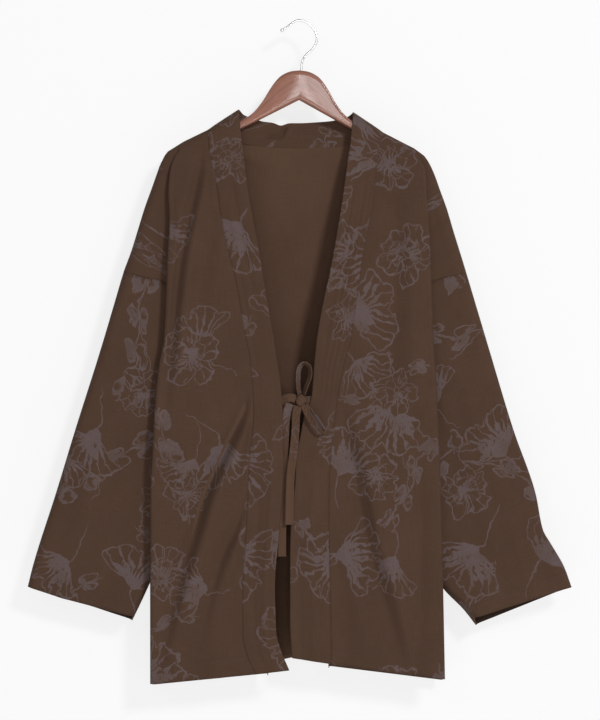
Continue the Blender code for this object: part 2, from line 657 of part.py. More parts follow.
def main():
    clear_scene()
    collection = bpy.data.collections.new("haori_jacket_on_hanger")
    bpy.context.scene.collection.children.link(collection)
    body_cloth = material("brown_cloth", CLOTH, 0.85)
    build_fronts(collection, body_cloth)
    build_back(collection, body_cloth)
    build_sleeves(collection, body_cloth)
    build_band(collection, material("band_cloth", BAND_CLOTH, 0.85))
    build_ties(collection, material("tie_cloth", TIE_CLOTH, 0.85))
    build_yoke(collection, material("varnished_wood", WOOD, 0.35))
    build_hook(collection, material("hook_wire", WIRE, 0.3, 0.9))


main()
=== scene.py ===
# %% [markdown]
# # A haori jacket on a wooden hanger
#
# A haori is a straight-cut jacket: two fronts, one back, two sleeves cut as trapezoids, and one long
# band that runs from hem to hem round the neck. Hung on a shaped hanger, its wide body folds in behind
# itself under the arms, and the two ties of the band are knotted in a bow.
#
# The solids that came before this script hold those shapes with few faces. Here each piece of cloth
# becomes a thin shell on the same sections, read much more finely, with soft folds, a printed weave and
# stitches. Lengths in the tables are millimetres. The origin is the inside top of the hook's bend, +Z is
# up, the fronts face -Y and +X is the wearer's left.

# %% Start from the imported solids
import math
from bisect import bisect_right

import bmesh
import bpy
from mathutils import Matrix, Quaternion, Vector, noise


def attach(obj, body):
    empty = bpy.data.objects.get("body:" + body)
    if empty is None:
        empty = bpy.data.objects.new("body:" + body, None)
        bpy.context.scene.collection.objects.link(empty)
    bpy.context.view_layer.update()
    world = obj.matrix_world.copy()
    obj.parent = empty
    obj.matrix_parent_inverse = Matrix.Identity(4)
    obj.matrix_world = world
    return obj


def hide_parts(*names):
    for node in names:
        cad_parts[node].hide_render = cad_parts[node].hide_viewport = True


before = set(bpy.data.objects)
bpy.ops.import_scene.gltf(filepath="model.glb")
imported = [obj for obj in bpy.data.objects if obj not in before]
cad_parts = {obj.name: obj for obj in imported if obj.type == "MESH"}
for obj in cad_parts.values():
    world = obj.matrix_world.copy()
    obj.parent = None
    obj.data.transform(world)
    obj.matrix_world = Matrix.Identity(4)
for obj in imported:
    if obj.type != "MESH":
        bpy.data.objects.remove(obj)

MM = 0.001
RIGHT, LEFT = -1, 1      # the wearer's sides, as signs of X
FRONT, BACK = -1, 1      # as signs of Y
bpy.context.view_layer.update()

# %% [markdown]
# ## Reading the cut from tables
#
# A pattern maker marks a few widths down a panel and lets a curve run through them. A table does the
# same: rows of named columns, read between the rows on a smooth curve. The curve never overshoots its
# rows, so a fold can't bulge where nobody marked it.

# %% Tables of named columns
class Table:
    """Rows of named columns, read between the rows on a smooth curve that never overshoots them."""

    def __init__(self, names, rows):
        self.keys = [row[0] for row in rows]
        self.values = {name: [row[i] for row in rows] for i, name in enumerate(names.split())}
        self.slopes = {name: self._slopes(values) for name, values in self.values.items()}

    def _slopes(self, values):
        steps = [(b - a) / (q - p) for a, b, p, q in
                 zip(values, values[1:], self.keys, self.keys[1:])]
        inner = [2 * a * b / (a + b) if a * b > 0 else 0.0 for a, b in zip(steps, steps[1:])]
        return [steps[0]] + inner + [steps[-1]]

    def __call__(self, name, key):
        keys, values, slopes = self.keys, self.values[name], self.slopes[name]
        key = min(max(key, keys[0]), keys[-1])
        i = min(max(bisect_right(keys, key) - 1, 0), len(keys) - 2)
        span = keys[i + 1] - keys[i]
        t = (key - keys[i]) / span
        rise = t * t * (3 - 2 * t)
        return (values[i] + (values[i + 1] - values[i]) * rise
                + span * (slopes[i] * t * (1 - t) ** 2 - slopes[i + 1] * t * t * (1 - t)))


def place(x, drop, y):
    """A point in metres from millimetres across, down and to the rear."""
    return Vector((x * MM, y * MM, -drop * MM))


def flat(w, drop):
    return Vector((w, drop))


def eased(share):
    """A share from 0 to 1 that starts and ends gently."""
    share = min(max(share, 0), 1)
    return share * share * (3 - 2 * share)


# %% [markdown]
# ## The measurements of the jacket
#
# A station k runs down each body panel: 0 at the shoulder line, 1 at the underarm, 2 at the hem. "w" is
# the distance outward from the middle line, "drop" the distance below the origin and "depth" the
# distance from the jacket's middle plane. They are the measurements of the solids, so every shell lands
# on the solid that it stands for.

# %% Lengths that the whole jacket shares
CLOTH_WALL = 1.0      # one layer of the cloth
TIE_WALL = 1.2
MIN_TURN = 1.5        # smallest radius of a fold's turn
RETURN_LEAN = 0.4     # the returning layer is this much deeper at the fold and shallower at the pleat
FOLD_STARTS = .03     # the station where a body panel starts to fold over itself
NECK_ENDS = .15       # the station below which the back no longer follows its neck edge
SIDE_SEAM_TURNS = 1.11        # the station where the pleat has become the side seam
SIDE_SEAM_ROUNDING = 0.25     # radius of the side seam's corner as a share of its depth
SEWN = 0.6            # how far the edges of two pieces that are sewn together lie over each other

UNDERARM_DROP = 469
SHOULDER_DROP = {RIGHT: 160, LEFT: 164}     # where the collar seam crosses the shoulder line
FRONT_HEM_DROP = {RIGHT: 958, LEFT: 943}    # at the collar seam
FOLD_HEM_DROP = {RIGHT: 972, LEFT: 965}     # at the body's outer fold
PLEAT_HEM_DROP = {RIGHT: 955, LEFT: 944}    # at the side seam, inside the body
BACK_HEM_EXTRA = 8                          # how far the back hangs below the fronts at the folds
BACK_HEM_MIDDLE = 938
BAND_HEM_DROP = {RIGHT: 952, LEFT: 934}     # at the band's free edge

# %% The depths of the layers, and the outer folds
DEPTHS = Table("k seam fold return sleeve", [
    (0.000, 0.5, 0.5, 0.5, 0.5),
    (0.005, 4.8, 4.8, 4.8, 4.8),
    (0.016, 7.8, 7.8, 7.8, 7.8),
    (0.030, 8.8, 10.6, 9.4, 8.2),
    (0.060, 9.8, 14.8, 11.8, 8.8),
    (0.090, 11.2, 17.6, 13.5, 9.4),
    (0.150, 14.0, 21.0, 16.0, 10.5),
    (0.250, 18.0, 25.0, 18.5, 12.0),
    (0.500, 25.0, 31.0, 23.0, 13.0),
    (0.800, 29.0, 34.0, 25.0, 13.0),
    (1.000, 30.0, 35.0, 26.0, 13.0),
    (1.500, 31.0, 35.0, 26.0, 13.0),
    (1.800, 30.0, 33.0, 24.0, 11.0),
    (2.000, 29.0, 32.0, 22.5, 10.0)])

FOLDS = {
    RIGHT: Table("k fold_w fold_drop pleat_w pleat_drop", [
        (0.00, 169, 177, 174, 180),
        (0.03, 174, 188, 178, 190),
        (0.06, 180, 198, 176, 200),
        (0.09, 185, 208, 172, 209),
        (0.15, 189, 225, 162, 228),
        (0.25, 191, 251, 147, 257),
        (0.40, 189, 295, 127, 301),
        (0.60, 192, 354, 99, 360),
        (0.80, 194, 412, 72, 416),
        (1.00, 197, 469, 46, 469),
        (1.06, 203, 499, 46, 499),
        (1.14, 208, 540, 46, 539),
        (1.33, 214, 637, 46, 633),
        (1.46, 217, 703, 46, 698),
        (2.00, 217, FOLD_HEM_DROP[RIGHT], 46, PLEAT_HEM_DROP[RIGHT])]),
    LEFT: Table("k fold_w fold_drop pleat_w pleat_drop", [
        (0.00, 165, 185, 169, 187),
        (0.03, 170, 193, 174, 196),
        (0.06, 177, 202, 172, 204),
        (0.09, 180, 209, 168, 211),
        (0.15, 185, 223, 159, 229),
        (0.25, 186, 251, 145, 257),
        (0.40, 189, 295, 125, 301),
        (0.60, 192, 354, 97, 360),
        (0.80, 194, 412, 71, 416),
        (1.00, 196, 469, 44, 469),
        (1.12, 200, 529, 44, 527),
        (1.36, 205, 649, 44, 644),
        (1.54, 208, 738, 44, 731),
        (2.00, 213, FOLD_HEM_DROP[LEFT], 44, PLEAT_HEM_DROP[LEFT])])}

RIMS = {   # where front and back meet, from the hanger's tip to the top of the sleeve
    RIGHT: Table("k rim_w rim_drop", [
        (0.00, 193, 192), (0.03, 198, 199), (0.06, 201, 205), (0.09, 204, 211), (0.15, 208, 222),
        (0.25, 216, 245), (0.40, 227, 276), (0.60, 237, 309), (0.80, 247, 341), (1.00, 258, 369)]),
    LEFT: Table("k rim_w rim_drop", [
        (0.00, 184, 198), (0.03, 189, 205), (0.06, 192, 210), (0.09, 195, 216), (0.15, 200, 228),
        (0.25, 207, 248), (0.40, 217, 276), (0.60, 227, 310), (0.80, 237, 342), (1.00, 246, 370)])}

# %% The front opening and the neck
OPENINGS = {
    RIGHT: Table("drop seam_w free_w", [
        (160, 134, 88), (178, 133, 84), (241, 121, 76), (294, 113, 67), (331, 105, 60),
        (398, 89, 49), (454, 80, 39), (499, 71, 32), (534, 68, 27), (572, 66, 24), (647, 72, 23),
        (686, 74, 24), (764, 78, 30), (834, 82, 35), (902, 82, 33), (926, 77, 27), (958, 63, 14)]),
    LEFT: Table("drop seam_w free_w", [
        (164, 124, 79), (189, 116, 74), (253, 110, 65), (350, 92, 49), (421, 82, 34), (468, 75, 26),
        (507, 64, 22), (555, 55, 18), (581, 52, 8), (612, 48, 2), (638, 46, -4), (686, 43, -6),
        (727, 43, -11), (799, 44, -13), (889, 46, -13), (943, 47, -10)])}

NECKS = {   # the band behind the neck: its sewn edge and its free edge
    RIGHT: [  # seam_w, seam_drop, seam_y, free_w, free_drop, free_y
        (133.5, 161.5, 5.2, 86, 132, 5.5),
        (129.5, 167, 9.0, 82, 136, 10.5),
        (112, 174, 10.2, 69, 141, 13.5),
        (87, 179, 12.0, 50, 146, 18.0),
        (50, 183, 14.5, 27, 147, 24.0)],
    LEFT: [
        (123.5, 165, 5.4, 79, 134, 5.5),
        (119.5, 170, 9.0, 74, 138, 10.5),
        (108, 176, 10.2, 63, 142, 13.5),
        (85, 180, 12.0, 46, 145, 18.0),
        (50, 183, 14.5, 27, 146, 24.0)]}
NECK_MIDDLE = (0, 185, 16.0, 0, 147, 28.0)
FIRST_BAND_STATION = .06
BAND_STANDS_OUT = 1.2
OVER_ARM = [  # k, free_out, free_rise, free_depth: the band's free edge as it turns over the hanger
    (0.030, 2, 11, 9.6),
    (0.016, 3, 18, 8.8),
    (0.005, 4, 25, 5.5),
    (0.000, 4, 30, 0.0)]

# %% The sleeves, from the armhole (s 0) to the cuff (s 1)
SLEEVES = {
    RIGHT: Table("s outer_w outer_drop inner_w inner_drop half_depth", [
        (0.00, 258, 369, 54, 466, 13.0),
        (0.25, 292, 484, 102, 570, 12.5),
        (0.50, 329, 601, 150, 674, 11.5),
        (0.70, 357, 693, 188, 757, 11.0),
        (0.93, 391, 800, 232, 853, 10.0),
        (1.00, 399, 832, 246, 882, 9.5)]),
    LEFT: Table("s outer_w outer_drop inner_w inner_drop half_depth", [
        (0.00, 246, 370, 53, 466, 13.0),
        (0.25, 280, 484, 95, 572, 12.5),
        (0.50, 315, 600, 138, 678, 11.5),
        (0.70, 348, 695, 175, 762, 11.0),
        (0.82, 359, 749, 200, 813, 11.0),
        (0.87, 371, 770, 212, 834, 10.5),
        (0.94, 390, 803, 243, 866, 10.0),
        (1.00, 401, 833, 261, 889, 10.5)])}
SLEEVE_SEAM_BOW = 14      # how far the armhole seam bows up between its ends

# %% [markdown]
# ## What every piece and every material starts with
#
# A piece is an object linked to the scene, and a material is a node tree with one shader. A few short
# helpers say that once.

# %% Objects, materials and their entries
def linked(name, data):
    """A new object in the scene."""
    made = bpy.data.objects.new(name, data)
    bpy.context.scene.collection.objects.link(made)
    return made


def new_surface(name):
    """A material, its node tree and its shader."""
    surface = bpy.data.materials.new(name)
    surface.use_nodes = True
    return surface, surface.node_tree, surface.node_tree.nodes["Principled BSDF"]


def preset(node, **values):
    """Set a node's entries by name, with an underscore for each space."""
    for name, value in values.items():
        node.inputs[name.replace("_", " ")].default_value = value


def mixed(tree, factor, first, second, blend="MIX"):
    """A colour between two others, each a tuple or another node's output."""
    node = tree.nodes.new("ShaderNodeMix")
    node.data_type = "RGBA"
    node.blend_type = blend
    tree.links.new(factor, node.inputs["Factor"])
    for name, colour in (("A", first), ("B", second)):
        if isinstance(colour, tuple):
            node.inputs[name].default_value = (*colour, 1)
        else:
            tree.links.new(colour, node.inputs[name])
    return node.outputs["Result"]


def raised(tree, shader, height):
    """Raise the surface by a height in millimetres, a node's output, as a bump."""
    bump = tree.nodes.new("ShaderNodeBump")
    preset(bump, Strength=1.0, Distance=MM)
    tree.links.new(height, bump.inputs["Height"])
    tree.links.new(bump.outputs["Normal"], shader.inputs["Normal"])


def object_noise(tree, scale):
    """A noise that is fixed to the object."""
    place_of = tree.nodes.new("ShaderNodeTexCoord")
    noise_node = tree.nodes.new("ShaderNodeTexNoise")
    preset(noise_node, Scale=scale)
    tree.links.new(place_of.outputs["Object"], noise_node.inputs["Vector"])
    return noise_node.outputs["Fac"]


# %% [markdown]
# ## Arithmetic in a material
#
# The print on the cloth is drawn by the material's own nodes, so it stays sharp at any size and needs no
# picture. Written out by hand that would be hundreds of boxes and wires. `Field` lets the script write
# it as a sum instead: adding or multiplying two fields adds one Math node to the material.

# %% A number that nodes work out at each point
class Field:
    """A number that a material works out at each point. Arithmetic on it adds Math nodes."""

    def __init__(self, tree, socket):
        self.tree, self.socket = tree, socket

    def math(self, operation, *others):
        node = self.tree.nodes.new("ShaderNodeMath")
        node.operation = operation
        for entry, value in zip(node.inputs, (self,) + others):
            if isinstance(value, Field):
                self.tree.links.new(value.socket, entry)
            else:
                entry.default_value = value
        return Field(self.tree, node.outputs[0])

    def __add__(self, other):
        return self.math("ADD", other)

    def __sub__(self, other):
        return self.math("SUBTRACT", other)

    def __mul__(self, other):
        return self.math("MULTIPLY", other)

    def __truediv__(self, other):
        return self.math("DIVIDE", other)

    def size(self):
        return self.math("ABSOLUTE")

    def sine(self):
        return self.math("SINE")

    def cosine(self):
        return self.math("COSINE")

    def larger(self, other):
        return self.math("MAXIMUM", other)

    def passing(self, low, high):
        """0 below low, 1 above high, and a soft step between them."""
        node = self.tree.nodes.new("ShaderNodeMapRange")
        node.interpolation_type = "SMOOTHSTEP"
        self.tree.links.new(self.socket, node.inputs["Value"])
        preset(node, From_Min=low, From_Max=high)
        return Field(self.tree, node.outputs["Result"])

    def short_of(self, low, high):
        """1 below low, 0 above high, and a soft step between them."""
        return (self.passing(low, high) * -1.0) + 1.0


def pair(first, second):
    """Two fields as one vector, for a texture's entry."""
    node = first.tree.nodes.new("ShaderNodeCombineXYZ")
    first.tree.links.new(first.socket, node.inputs[0])
    second.tree.links.new(second.socket, node.inputs[1])
    return node.outputs[0]


def grain(u, v, along, across, detail=2.0):
    """Noise whose grains are "along" by "across" millimetres, as two fields about 0.5."""
    node = u.tree.nodes.new("ShaderNodeTexNoise")
    node.noise_dimensions = "2D"
    preset(node, Scale=1.0, Detail=detail)
    u.tree.links.new(pair(u / along, v / across), node.inputs["Vector"])
    split = u.tree.nodes.new("ShaderNodeSeparateColor")
    u.tree.links.new(node.outputs["Color"], split.inputs[0])
    return Field(u.tree, split.outputs[0]), Field(u.tree, split.outputs[1])


def cut_place(tree):
    """Where a point lay on the flat cloth or board, as two fields in millimetres."""
    cut = tree.nodes.new("ShaderNodeUVMap")
    cut.uv_map = "cut"
    split = tree.nodes.new("ShaderNodeSeparateXYZ")
    tree.links.new(cut.outputs[0], split.inputs[0])
    return Field(tree, split.outputs[0]) * (1 / MM), Field(tree, split.outputs[1]) * (1 / MM)


# %% [markdown]
# ## The print
#
# The cloth is printed in one mauve-grey, a little lighter than the brown ground, with loose brush
# drawings of fan-shaped leaves, open blossoms and sprigs. A Voronoi texture with loose cells gives every
# motif a place, a turn and a size of its own. In a cell's own axes each motif is a few distances: how far
# a point lies from the leaf's edge, from a vein, from the curved stem. A slow noise bends the axes first,
# so that the lines look drawn by hand, and a fine noise breaks them like a dry brush.
#
# These are plain leaves and flowers of the script's own, in a layout that the random cells decide.

# %% Where the motifs lie
def scattered(u, v, spacing, looseness, shift, empty, thinner_above):
    """The nearest motif's own axes in millimetres, turned and sized at random, and 1 where it is drawn."""
    tree = u.tree
    cells = tree.nodes.new("ShaderNodeTexVoronoi")
    cells.voronoi_dimensions = "2D"
    preset(cells, Scale=1.0, Randomness=looseness)
    at = pair(u / spacing + shift, v / spacing + shift)
    tree.links.new(at, cells.inputs["Vector"])
    away = tree.nodes.new("ShaderNodeVectorMath")
    away.operation = "SUBTRACT"
    tree.links.new(at, away.inputs[0])
    tree.links.new(cells.outputs["Position"], away.inputs[1])
    offset = tree.nodes.new("ShaderNodeSeparateXYZ")
    tree.links.new(away.outputs[0], offset.inputs[0])
    middle = tree.nodes.new("ShaderNodeSeparateXYZ")
    tree.links.new(cells.outputs["Position"], middle.inputs[0])
    chance = tree.nodes.new("ShaderNodeSeparateColor")
    tree.links.new(cells.outputs["Color"], chance.inputs[0])
    turned, sized, kept = (Field(tree, out) for out in chance.outputs[:3])
    drop = (Field(tree, middle.outputs[1]) - shift) * -spacing
    bar = drop.short_of(*THINNING) * thinner_above + empty
    growth = sized * -0.40 + 1.22
    x = Field(tree, offset.outputs[0]) * spacing * growth
    y = Field(tree, offset.outputs[1]) * spacing * growth
    angle = turned * (2 * math.pi)
    cosine, sine = angle.cosine(), angle.sine()
    return x * cosine - y * sine, x * sine + y * cosine, kept.math("GREATER_THAN", bar)


def polar(x, y):
    """Distance from the middle and angle from straight up."""
    return (x * x + y * y).math("SQRT"), x.math("ARCTAN2", y)


def line(distance, width):
    return distance.size().short_of(width * .45, width)


# %% The three motifs
THINNING = (280, 640)    # fewer motifs above this range of drops than below it
LEAF_SPREAD = 1.02       # half the angle of a leaf's fan, in radians
LEAF_SIZE = 66
BLOSSOM_SIZE = 40


def strokes(angle, count, reach, solid, open_):
    """Brush strokes that fan out: they run together up to "solid" of the reach and part beyond it."""
    width = reach.short_of(solid, open_) * .98 + .16
    within = ((angle * (count / 2)).math("FRACT") - .5).size() * 2
    return (within - width).short_of(-.12, .04)


def leaf(x, y, brush, patch):
    """A fan-shaped leaf: strokes that spread from its root to a scalloped rim, and a curved stalk."""
    y = y + LEAF_SIZE * .42
    radius, angle = polar(x, y)
    fan = angle.size()
    scallop = (angle * 7.4).cosine().size().math("POWER", .6) * .11
    edge = (fan.passing(0, .16) * .20 + .70 + scallop) * LEAF_SIZE
    reach = radius / edge
    spread = fan.short_of(LEAF_SPREAD - .03, LEAF_SPREAD + .03)
    covers = spread * reach.short_of(.985, 1.0)
    comb = strokes(angle, 8.6, reach + (patch - .5) * .9, .30, .86) * brush.passing(.30, .38)
    root = reach.short_of(.20, .34)
    rim = line(radius - edge, 1.7) * spread * brush.passing(.24, .30)
    sides = line((fan - LEAF_SPREAD) * radius, 1.3) * reach.short_of(.985, 1.0)
    stalk = line(x - y * y * .009, 1.5) * y.passing(-LEAF_SIZE * .95, -LEAF_SIZE * .75) * y.short_of(-1, 1)
    return (covers * comb.larger(root)).larger(rim).larger(sides).larger(stalk), covers


def blossom(x, y, brush, patch):
    """An open ruffled flower whose petals overlap, some of them washed in."""
    radius, angle = polar(x, y)
    petal = (angle * 2.5).sine().size()
    ruffle = (angle * 11).sine() * .05 + (angle * 4.0 + 1.0).sine() * .07
    edge = (petal.math("POWER", .6) * .30 + .66 + ruffle) * BLOSSOM_SIZE
    reach = radius / edge
    covers = reach.short_of(.985, 1.0)
    rim = line(radius - edge, 1.7) * brush.passing(.24, .30)
    inner_rim = line(radius - edge * .58, 1.2) * brush.passing(.36, .44)
    parting = line(petal * radius * .4, 1.1) * reach.passing(.15, .3)
    wash = (strokes(angle, 5.0, reach + (patch - .5) * 1.2, .10, .80) * brush.passing(.30, .38)
            * patch.passing(.40, .50))
    heart = line(radius - 5.5, 1.5)
    return rim.larger(covers * parting.larger(wash).larger(inner_rim)).larger(heart), covers


def stem(x, y, brush, patch):
    """A long waving stem with a fork and a few buds."""
    middle = (x / 36).sine() * 17
    length = x.size().short_of(78, 88)
    main = line(y - middle, 1.6)
    side_shoot = line(y - middle - (x + 12) * .62, 1.3) * x.passing(-14, -12) * x.short_of(26, 32)
    step = ((x / 41).math("FRACT") - .5) * 41
    away = (y - middle).size() - 8
    bud = ((step / 12) * (step / 12) + (away / 6) * (away / 6)).math("SQRT")
    covers = bud.short_of(.9, 1) * length
    buds = line((bud - 1) * 7, 1.3).larger(covers * patch.passing(.45, .55) * .8)
    return (main * length).larger(side_shoot).larger(buds * length * brush.passing(.25, .35)), covers


# %% The whole print
PRINT_LAYERS = [   # motif, spacing, looseness, shift, share of places left empty, and more above
    (stem, 176, .55, 71.1, .22, .20),
    (leaf, 172, .52, 53.9, .42, .26),
    (blossom, 150, .50, 37.7, .56, .14),
    (leaf, 158, .46, 11.3, .30, .30)]


def print_mask(u, v):
    """How much of the print's ink lies at a place, from 0 to 1. A later motif covers an earlier one."""
    slow_u, slow_v = grain(u, v, 34, 34)
    quick_u, quick_v = grain(u, v, 7, 7)
    drawn_u = u + (slow_u - .5) * 24 + (quick_u - .5) * 3.4
    drawn_v = v + (slow_v - .5) * 24 + (quick_v - .5) * 3.4
    brush, _ = grain(u, v, 4.0, 11, detail=3.0)
    patch, _ = grain(u, v, 26, 22)
    ink = None
    for motif, spacing, looseness, shift, empty, thinner_above in PRINT_LAYERS:
        x, y, kept = scattered(drawn_u, drawn_v, spacing, looseness, shift, empty, thinner_above)
        drawn, covers = motif(x, y, brush, patch)
        ink = drawn * kept if ink is None else (ink * (covers * kept * -1.0 + 1.0)).larger(drawn * kept)
    speckle, _ = grain(u, v, 1.5, 2.2)
    broad, _ = grain(u, v, 40, 40)
    return ink * (speckle.passing(.26, .50) * .5 + .5) * (broad.passing(.3, .6) * .3 + .7)


# %% [markdown]
# ## The cloth itself
#
# The jacket is a matte plain weave of slightly uneven threads. Three scales make it read as cloth: the
# crossing of the threads, half a millimetre apart; slubs, thicker stretches of a thread a few
# centimetres long; and a slow change of tone from wear and pressing. The inside is the same cloth with
# no print. A line of stitching pulls the cloth in, so the material also reads how far a point lies from
# the nearest stitched line, from an attribute named "stitch_line" that each piece carries. There it
# sinks the cloth in a shallow bumped groove and darkens the colour as painted shade.

# %% The cloth's colours and threads
CLOTH_COLOUR = (0.0665, 0.0362, 0.0232)
CLOTH_SHADE = (0.0532, 0.0282, 0.0177)
INK_COLOUR = (0.118, 0.090, 0.092)
THREAD_PITCH = 0.55
INK_COVER = .68
CLOTH_CONTRAST = 1.18     # the lightest threads, as a multiple of the cloth's colour
PAINTED_SEAM_SHADE = (.35, .32, .30)    # painted shade beside a seam: the colour there is multiplied by this, as far as the strength below says
# the strength of that painted shade, and the depth of the seam's bumped groove
PAINTED_SEAM_SHADE_STRENGTH, SEAM_DEPTH = .08, .12


def cloth_material(name, printed, tone=1.0):
    """A plain weave, with or without the print on it."""
    surface, tree, shader = new_surface(name)
    u, v = cut_place(tree)

    weft, _ = grain(u, v, 22, .9)
    warp, _ = grain(u, v, .9, 26)
    slow, _ = grain(u, v, 60, 90)
    slubs = weft * .5 + warp * .5
    tone_field = (slubs - .5) * 1.3 + (slow - .5) * .5 + .5
    colour = mixed(tree, tone_field.socket, tuple(c * tone for c in CLOTH_SHADE),
                   tuple(c * tone * CLOTH_CONTRAST for c in CLOTH_COLOUR))
    if printed:
        colour = mixed(tree, (print_mask(u, v) * INK_COVER).socket, colour, INK_COLOUR)

    mark = tree.nodes.new("ShaderNodeAttribute")
    mark.attribute_name = "stitch_line"
    beside = Field(tree, mark.outputs["Fac"]).size()
    groove = beside.short_of(.3, 2.4)
    # painted shade: the colour beside each stitched line is darkened, for the shade in the seam's groove
    painted_shade_amount = (beside.short_of(.2, 1.5) * PAINTED_SEAM_SHADE_STRENGTH).socket
    tree.links.new(mixed(tree, painted_shade_amount, colour, PAINTED_SEAM_SHADE, blend="MULTIPLY"),
                   shader.inputs["Base Color"])

    turn_per_mm = 2 * math.pi / THREAD_PITCH
    threads = (u * turn_per_mm).sine() * (v * turn_per_mm).sine()
    pucker, _ = grain(u, v, 7, 7)
    relief = (threads * .035 + (slubs - .5) * .10 - groove * SEAM_DEPTH
              + (pucker - .5) * beside.short_of(1, 7) * .55)
    raised(tree, shader, relief.socket)
    preset(shader, Roughness=0.88, Specular_IOR_Level=0.14, Sheen_Weight=0.05, Sheen_Roughness=0.45,
           Sheen_Tint=(0.62, 0.54, 0.48, 1))
    return surface


printed_cloth = cloth_material("printed_cloth", printed=True)
plain_cloth = cloth_material("plain_cloth", printed=False, tone=1.20)
print("nodes in the printed cloth:", len(printed_cloth.node_tree.nodes))

# %% [markdown]
# ## From a grid of points to a shell
#
# Every piece of this jacket is a strip of cloth that was flat once, so every piece can be a grid: rows
# across, columns down. The grid carries two more things than places: where each point lay on the flat
# cloth, which becomes the UV map that the print and the weave follow, and how far it lies from a line of
# stitching. A Solidify modifier then gives the sheet its two faces, the printed one outside and the
# plain one inside.

# %% A grid of cloth
class Sheet:
    """Rows of points with their flat places. A missing point is None."""

    def __init__(self, points, cut, stitch_lines, around=False):
        self.points, self.cut, self.stitch_lines, self.around = points, cut, stitch_lines, around

    def area(self):
        """The area of one layer in square metres."""
        total = 0.0
        for upper, lower in zip(self.points, self.points[1:]):
            for a, b, c, d in zip(upper, lower, lower[1:], upper[1:]):
                if a is not None and b is not None and c is not None and d is not None:
                    total += (b - a).cross(d - a).length / 2 + (b - c).cross(d - c).length / 2
        return total


TIE_PLACE = (5140, -860)
CUT_PLACES = {    # where each piece lay on the length of cloth, in millimetres
    "front_right_cloth": (420, 0), "front_left_cloth": (1310, 0), "back_cloth": (2450, 0),
    "sleeve_right_cloth": (3300, -370), "sleeve_left_cloth": (3925, -370), "collar_band_cloth": (4480, -2200),
    "tie_loop_lower_cloth": (5140, -890), "tie_loop_upper_cloth": (5140, -880)}


def shell(name, sheet, faces_front, outside, inside, wall):
    """A sheet as a mesh object with a wall. faces_front says whether its rows and columns already run
    so that its faces point to the outside of the garment."""
    numbers, corners, marks = [], [], []
    for row, mark_row in zip(sheet.points, sheet.stitch_lines):
        numbers.append([])
        for point, mark in zip(row, mark_row):
            numbers[-1].append(len(corners) if point is not None else None)
            if point is not None:
                corners.append(point)
                marks.append(mark)
    faces, face_cuts = [], []
    for r in range(len(numbers) - 1):
        width = len(numbers[r])
        for c in range(width if sheet.around else width - 1):
            after = (c + 1) % width
            ring = [(r, c, c), (r + 1, c, c), (r + 1, after, c + 1), (r, after, c + 1)]
            if any(numbers[i][j] is None for i, j, _ in ring):
                continue
            if not faces_front:
                ring.reverse()
            faces.append([numbers[i][j] for i, j, _ in ring])
            face_cuts.extend(sheet.cut[i][k] for i, _, k in ring)
    mesh = bpy.data.meshes.new(name)
    mesh.from_pydata(corners, [], faces)
    across, down = CUT_PLACES.get(name, TIE_PLACE)
    layer = mesh.uv_layers.new(name="cut")
    layer.data.foreach_set("uv", [value * MM for u, v in face_cuts for value in (u + across, v + down)])
    marked = mesh.attributes.new("stitch_line", "FLOAT", "POINT")
    marked.data.foreach_set("value", marks)
    mesh.polygons.foreach_set("use_smooth", [True] * len(mesh.polygons))
    mesh.materials.append(outside)
    mesh.materials.append(inside)
    piece = linked(name, mesh)
    if wall:
        thickness = piece.modifiers.new("wall", "SOLIDIFY")
        thickness.thickness = wall * MM
        thickness.offset = 0
        thickness.material_offset = 1
    print(f"{name}: {len(faces)} faces in one layer, {sheet.area():.3f} square metres")
    return piece


FAR = 99.0      # "stitch_line" where no stitching is near


def measured(points):
    """How far along a row each point lies, seen from above, in millimetres: the flat cloth's width."""
    reach, out = 0.0, [0.0]
    for a, b in zip(points, points[1:]):
        reach += math.hypot(b.x - a.x, b.y - a.y) / MM
        out.append(reach)
    return out


# %% [markdown]
# ## The sections of a body panel
#
# Cut across, one side of the body is a path: from the band's seam out over the front, round the outer
# fold, back inward behind the front, round the pleat, and out again to the rim, where front and back are
# one. Below the underarm the path ends at the side seam instead. Each turn is a half circle, so a fold
# has the soft round edge that cloth has.

# %% Points on the way across
TURN_ANGLES = tuple(180 * i / 8 for i in range(9))
FACE_STEPS, LAYER_STEPS, RIM_STEPS, SEAM_STEPS = 56, 7, 7, 4


def shares(count):
    """Evenly spaced shares between 0 and 1, without the ends."""
    return [i / (count + 1) for i in range(1, count + 1)]


def run(start, end, at):
    """Points on a straight layer between two (flat point, depth) pairs."""
    return [(start[0].lerp(end[0], share), start[1] + (end[1] - start[1]) * share) for share in at]


def turn(corner, first, second, first_depth, second_depth):
    """The half round that joins two layers at a fold."""
    radius = max(abs(first_depth - second_depth) / 2, MIN_TURN)
    middle, half = (first_depth + second_depth) / 2, (first_depth - second_depth) / 2
    points = []
    for angle in TURN_ANGLES:
        toward = (first if angle < 90 else second) - corner
        share = min(radius / max(toward.length, MIN_TURN), 1 / 3)
        reach = toward * share * (1 - math.sin(math.radians(angle)))
        points.append((corner + reach, middle + half * math.cos(math.radians(angle))))
    return points


def rounded_rim(start, rim, depth):
    """The end of a layer that curves in to the middle plane at an outer rim."""
    reach = max(depth, 2 * MIN_TURN)
    inward = (start - rim).normalized()
    points = []
    for step in range(RIM_STEPS + 1):
        angle = math.pi / 2 * step / RIM_STEPS
        points.append((rim + inward * reach * (1 - math.sin(angle)), depth * math.cos(angle)))
    return points


def seam_drop(side, k):
    if k <= 1:
        return SHOULDER_DROP[side] + (UNDERARM_DROP - SHOULDER_DROP[side]) * k
    return UNDERARM_DROP + (FRONT_HEM_DROP[side] - UNDERARM_DROP) * (k - 1)


def seam_point(side, k):
    drop = seam_drop(side, k)
    return flat(OPENINGS[side]("seam_w", drop), drop)


def fold_corners(side, k):
    table = FOLDS[side]
    return (flat(table("fold_w", k), table("fold_drop", k)),
            flat(table("pleat_w", k), table("pleat_drop", k)))


def return_lean(k):
    return RETURN_LEAN * min(k / FOLD_STARTS, 1)


